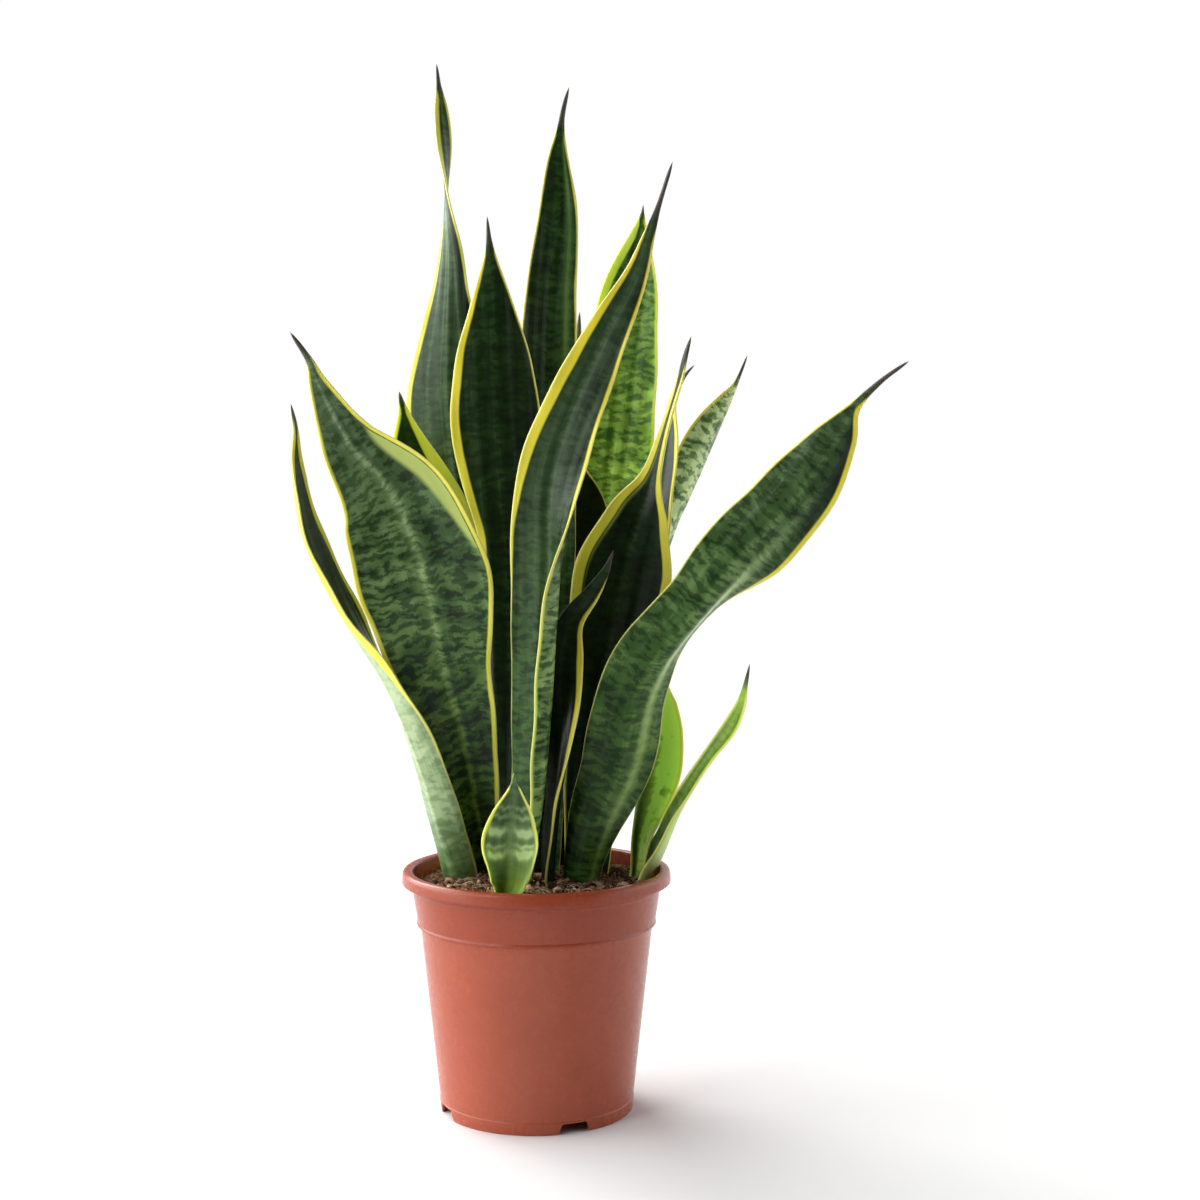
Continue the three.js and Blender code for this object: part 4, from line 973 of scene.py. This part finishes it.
def build_pot():
    """The turned shell, less its notches and drain holes."""
    faces = closed_tube(len(profile), POT_SIDES)
    pot = new_piece("pot_shell", turned(profile, POT_SIDES), faces, PLASTIC)
    close_up(pot)
    top, bottom = NOTCH_WIDTH / 2, NOTCH_WIDTH / 2 + NOTCH_SPLAY
    right = (
        (bottom, -1), (top, NOTCH_HEIGHT - NOTCH_CORNER), (top - 0.35, NOTCH_HEIGHT - 0.35),
        (top - NOTCH_CORNER, NOTCH_HEIGHT),
    )
    notch = ((-bottom, -1), *right, *((-x, z) for x, z in right[:0:-1]))
    drain_angle = np.linspace(0, 2 * np.pi, DRAIN_SIDES, endpoint=False)
    drain = DRAIN_RADIUS * np.stack([np.cos(drain_angle), np.sin(drain_angle)], -1)
    cutters = []
    for i in range(NOTCH_COUNT):
        points, count = prism(notch, -BASE_RADIUS - 3, -BASE_RADIUS + 9)
        angle = NOTCH_TURN + 2 * np.pi * i / NOTCH_COUNT
        cutters.append(cutter("notch_cutter", turn_about_z(points, angle), count))
    for i in range(DRAIN_COUNT):
        angle = NOTCH_TURN + 2 * np.pi * (i + 0.5) / DRAIN_COUNT
        ring = drain + DRAIN_CIRCLE * np.array([np.sin(angle), -np.cos(angle)])
        ends = [np.column_stack([ring, np.full(len(ring), z)]) for z in (FLOOR_TOP - 4, FLOOR_TOP + 4)]
        cutters.append(cutter("drain_cutter", np.concatenate(ends), len(ring)))
    for one in cutters:
        cut = pot.modifiers.new("cut", "BOOLEAN")
        cut.operation, cut.solver, cut.object = "DIFFERENCE", "EXACT", one
    shape = bpy.data.meshes.new_from_object(pot.evaluated_get(bpy.context.evaluated_depsgraph_get()))
    pot.modifiers.clear()
    pot.data = shape
    for one in cutters:
        bpy.data.objects.remove(one)
    shape.polygons.foreach_set("use_smooth", np.ones(len(shape.polygons), bool))
    shape.set_sharp_from_angle(angle=np.radians(SHARP_ANGLE))
    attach(pot, "root")
    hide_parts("pot")
    return pot


pot = build_pot()
print("faces in the pot:", len(pot.data.polygons))

# %% [markdown]
# ## The soil
# Potting soil is a loose heap of peat crumbs, coir fibres and thin roots. A bump map on a flat
# disc looks painted from the side, so the surface is built in three layers: a lumpy ground, a
# few thousand small crumbs that lie on it, and fibres that curl over the crumbs.

# %% The ground
SOIL_LEVEL = 143.5
SOIL_RELIEF = 1.6
GROUND_RINGS = 60
GROUND_SIDES = 160
GAP_PAINTED_SHADE = 0.22  # the ground between the crumbs is a dark brown: painted shade in the gaps
GRAIN_SIZE = 1.6  # mm
BROWNS = ((0, "#23150D"), (0.3, "#4D3020"), (0.55, "#83593F"), (0.8, "#B08868"), (1, "#DAC4A4"))
soil_draw = np.random.default_rng(11)
LUMPS = [(size, soil_draw.uniform(0, 2 * np.pi, 4)) for size in (23, 14, 9, 5.5)]


def lumps(x, y):
    """Waves of four sizes, each bent by the one across it, so that no row or column shows."""
    height = 0
    for size, (p, q, r, s) in LUMPS:
        k = 2 * np.pi / size
        bend_x, bend_y = 0.35 * size * np.sin(0.6 * k * y + r), 0.35 * size * np.sin(0.7 * k * x + s)
        height = height + size * 0.045 * np.sin(k * (x + bend_x) + p) * np.cos(k * (y + bend_y) + q)
    return height


def soil_height(x, y):
    """Height of the soil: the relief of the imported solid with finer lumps, lower at the wall."""
    edge = np.hypot(x, y) / inner_radius(SOIL_LEVEL)
    ripple = np.sin(x * 0.31 + 1.3 * np.sin(y * 0.17)) * np.cos(y * 0.27 - 0.6 * np.sin(x * 0.23))
    relief = SOIL_RELIEF * ripple * (1 - 0.5 * edge)
    return SOIL_LEVEL + 0.6 * relief + lumps(x, y) - 1.5 * edge**2


def soil_material():
    """Moist peat and coir: matt, brown in many shades, one for each crumb."""
    material, add = new_material("Potting soil, moist peat and coir")
    place = add("TexCoord").outputs["Object"]
    shade = add("Attribute", attribute_name="shade").outputs["Fac"]
    grain = add("TexNoise", {"Vector": place, "Scale": 1 / (GRAIN_SIZE * MM), "Detail": 4})
    mixed = add("Math", (grain, 0.5, shade), operation="MULTIPLY_ADD")
    colour = add("ValToRGB", (add("Math", (mixed, 0.25), operation="SUBTRACT"),))
    set_stops(colour, BROWNS)
    rough = add("Bump", {"Height": grain, "Distance": 0.0012, "Strength": 0.8})
    surface = add("BsdfPrincipled", {"Base Color": colour, "Roughness": 0.92, "IOR": 1.33, "Normal": rough})
    add("OutputMaterial", (surface,))
    return material


SOIL = soil_material()


def build_ground():
    """A closed disc of soil: the lumpy top, and sides and a bottom inside the pot."""
    wall = inner_radius(SOIL_LEVEL) - 0.5
    angle = np.linspace(0, 2 * np.pi, GROUND_SIDES, endpoint=False)[None]
    radius = np.concatenate([np.linspace(0.05, wall, GROUND_RINGS), [wall - 3, 0.05]])[:, None]
    x, y = radius * np.cos(angle), radius * np.sin(angle)
    z = soil_height(x, y)
    z[-2:] = SOIL_LEVEL - 25
    faces = closed_tube(len(radius), GROUND_SIDES)
    ground = new_piece("soil_ground", np.stack([x, y, z], -1), faces, SOIL)
    # painted shade: the ground shows only in the gaps between crumbs, so it gets a dark brown
    set_attribute(ground, "shade", "FLOAT", np.full(x.size, GAP_PAINTED_SHADE))
    close_up(ground)
    return ground


# %% The crumbs
def ball(steps):
    """The corners and faces of a ball of triangles, an icosahedron split steps times."""
    work = bmesh.new()
    bmesh.ops.create_icosphere(work, subdivisions=steps, radius=1)
    corners = np.array([v.co for v in work.verts])
    faces = np.array([[v.index for v in f.verts] for f in work.faces])
    work.free()
    return corners, faces


def scattered(count, draw):
    """Random places on the soil, evenly spread: the radius is the root of an even draw."""
    radius = (inner_radius(SOIL_LEVEL) - 2.5) * np.sqrt(draw.uniform(0, 1, count))
    angle = draw.uniform(0, 2 * np.pi, count)
    return radius * np.cos(angle), radius * np.sin(angle)


def build_crumbs(name, count, sizes, steps, seed):
    """Crumbs: balls that are squashed, dented and turned at random, half sunk in the ground."""
    draw = np.random.default_rng(seed)
    corners, triangles = ball(steps)
    x, y = scattered(count, draw)
    size = sizes[0] + (sizes[1] - sizes[0]) * draw.uniform(0, 1, count) ** 2.5
    stretch = size[:, None] * draw.uniform(0.35, 1.5, (count, 3))
    dents = draw.uniform(0.72, 1.2, (count, len(corners), 1))
    points = corners[None] * dents * stretch[:, None]
    axes, _ = np.linalg.qr(draw.normal(size=(count, 3, 3)))
    points = np.einsum("nij,nkj->nki", axes, points)
    centre = np.stack([x, y, soil_height(x, y) + 0.25 * size], -1)
    points += centre[:, None]
    faces = triangles[None] + np.arange(count)[:, None, None] * len(corners)
    piece = new_piece(name, points, (faces.reshape(-1, 3),), SOIL)
    set_attribute(piece, "shade", "FLOAT", np.repeat(draw.uniform(0, 0.95, count) ** 1.3, len(corners)))
    close_up(piece)
    return piece


# %% The fibres and roots
def build_fibres(name, count, lengths, thickness, lift, shades, seed):
    """Fibres: thin tubes along curved paths. A path starts on the soil and turns at a steady
    rate as it goes; its height is that of the soil plus a low arch."""
    draw = np.random.default_rng(seed)
    steps, sides = 9, 4
    x, y = scattered(count, draw)
    length = draw.uniform(*lengths, count)[:, None]
    share = np.linspace(0, 1, steps)[None]
    heading = draw.uniform(0, 2 * np.pi, count)[:, None] + draw.uniform(-2.4, 2.4, count)[:, None] * share
    step = length / (steps - 1)
    px = x[:, None] + np.cumsum(np.cos(heading) * step, 1)
    py = y[:, None] + np.cumsum(np.sin(heading) * step, 1)
    inside = np.minimum(1, (inner_radius(SOIL_LEVEL) - 1.5) / np.hypot(px, py))
    px, py = px * inside, py * inside
    height = draw.uniform(0.1, lift, count)[:, None]
    arch = height * np.sin(np.pi * share * draw.uniform(0.5, 1, count)[:, None])
    pz = soil_height(px, py) + 0.6 + arch
    path = np.stack([px, py, pz], -1)
    ahead = unit(np.gradient(path, axis=1))
    side = unit(np.cross(ahead, [0, 0, 1.0]))
    over = np.cross(side, ahead)
    turn = np.linspace(0, 2 * np.pi, sides, endpoint=False)[:, None]
    radius = draw.uniform(*thickness, count)[:, None, None, None] * (1 - 0.6 * share[..., None, None])
    ring = np.cos(turn) * side[:, :, None] + np.sin(turn) * over[:, :, None]
    points = path[:, :, None] + radius * ring
    block = steps * sides
    first = np.arange(count)[:, None, None] * block
    tube, *ends = closed_tube(steps, sides)
    quads, ends = tube + first, np.concatenate(ends) + first
    piece = new_piece(name, points, (quads.reshape(-1, 4), ends.reshape(-1, 4)), SOIL)
    set_attribute(piece, "shade", "FLOAT", np.repeat(draw.uniform(*shades, count), block))
    close_up(piece)
    return piece


soil_pieces = [
    build_ground(),
    build_crumbs("soil_crumbs_fine", 3600, (0.5, 1.6), 1, seed=21),
    build_crumbs("soil_crumbs_coarse", 700, (1.4, 3.8), 2, seed=22),
    build_fibres("soil_fibres", 2300, (4, 16), (0.16, 0.42), 2.6, (0.35, 1), seed=23),
    build_fibres("soil_roots", 46, (12, 30), (0.22, 0.45), 4.5, (0.75, 1.05), seed=24),
]
for piece in soil_pieces:
    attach(piece, "root")
    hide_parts("soil")
print("faces in the soil:", [len(piece.data.polygons) for piece in soil_pieces])

# %% [markdown]
# ## Studio
# The plant stands on white paper. One very large soft light comes from behind its left side, and
# gives the bright left sides and the soft shadow that falls to the right and forwards. White
# panels on the left and the right draw the bright lines along the edges. Nothing bright stands
# behind the camera, which keeps the dark greens deep.

# %% Floor, lights and surroundings
FLOOR_SIZE = 12000
FLOOR_FRONT = -700  # the sheet of paper ends here, so that the leaves do not mirror it


def paper_material():
    """Matt white paper."""
    material, add = new_material("White paper, matt")
    surface = add("BsdfPrincipled", {"Base Color": linear("#ECECEC"), "Roughness": 0.9})
    add("OutputMaterial", (surface,))
    return material


corners = np.array([[-1, 0, 0], [1, 0, 0], [1, 1, 0], [-1, 1, 0]]) * FLOOR_SIZE / 2
corners[:2, 1] = FLOOR_FRONT
floor = new_piece("floor", corners, (np.array([[0, 1, 2, 3]]),), paper_material())


def softbox(name, place, aim, size, power):
    """A soft rectangular light at place that shines at aim, in mm, with its power in watts."""
    data = bpy.data.lights.new(name, "AREA")
    data.shape = "RECTANGLE"
    data.size, data.size_y = size[0] * MM, size[1] * MM
    data.energy = power
    light = bpy.data.objects.new(name, data)
    away = -unit(np.array(aim, float) - place)
    side = unit(np.cross([0, 0, 1.0], away))
    turn = np.eye(4)
    turn[:3] = np.stack([side, np.cross(away, side), away, np.array(place) * MM], 1)
    light.matrix_world = Matrix(turn.tolist())
    bpy.context.scene.collection.objects.link(light)


softbox("front_left", (-1300, -1300, 1300), (0, 0, 300), (500, 1100), 10)

KEY_AZIMUTH = 59  # degrees behind the left side that the key light comes from
KEY_ELEVATION = 38
KEY_ANGLE = 37  # degrees that the light covers in the sky, like a very large softbox
key_data = bpy.data.lights.new("key", "SUN")
key_data.energy = 2.2
key_data.angle = np.radians(KEY_ANGLE)
key = bpy.data.objects.new("key", key_data)
key.rotation_euler = np.radians([0, -(90 - KEY_ELEVATION), -KEY_AZIMUTH])
bpy.context.scene.collection.objects.link(key)

PANELS = (
    # direction of a white panel's middle, cosines off it where it ends and is full, brightness
    ((-1, 0.2, 0.2), 0.6, 0.98, 4.5),
    ((-1, 0, 0), 0.1, 0.9, 0.95),
    ((0.75, 0.66, 0.1), 0.4, 0.95, 1.2),
    ((1, 0, 0.1), 0.7, 0.98, 1.3),
)


def surroundings():
    """The studio: panels that fade out at their ends, and white where the camera looks past
    everything. A panel's light is that of the cosine between its middle and the direction."""
    world = bpy.data.worlds.new("studio")
    world.use_nodes = True
    world.node_tree.nodes.clear()
    add = partial(add_node, world.node_tree)
    direction = add("TexCoord").outputs["Generated"]
    total = 0.0
    for middle, end, full, brightness in PANELS:
        towards = tuple(unit(np.array(middle, float)).tolist())
        cosine = add("VectorMath", (direction, towards), operation="DOT_PRODUCT").outputs["Value"]
        panel = add("MapRange", (cosine, end, full, 0, brightness), **SMOOTH)
        total = add("Math", (panel, total))
    seen = add("LightPath").outputs["Is Camera Ray"]
    strength = add("Math", (total, seen), operation="MAXIMUM")
    add("OutputWorld", (add("Background", (linear("#FFFFFF"), strength)),))
    bpy.context.scene.world = world


surroundings()
bpy.context.scene.view_settings.view_transform = "Standard"
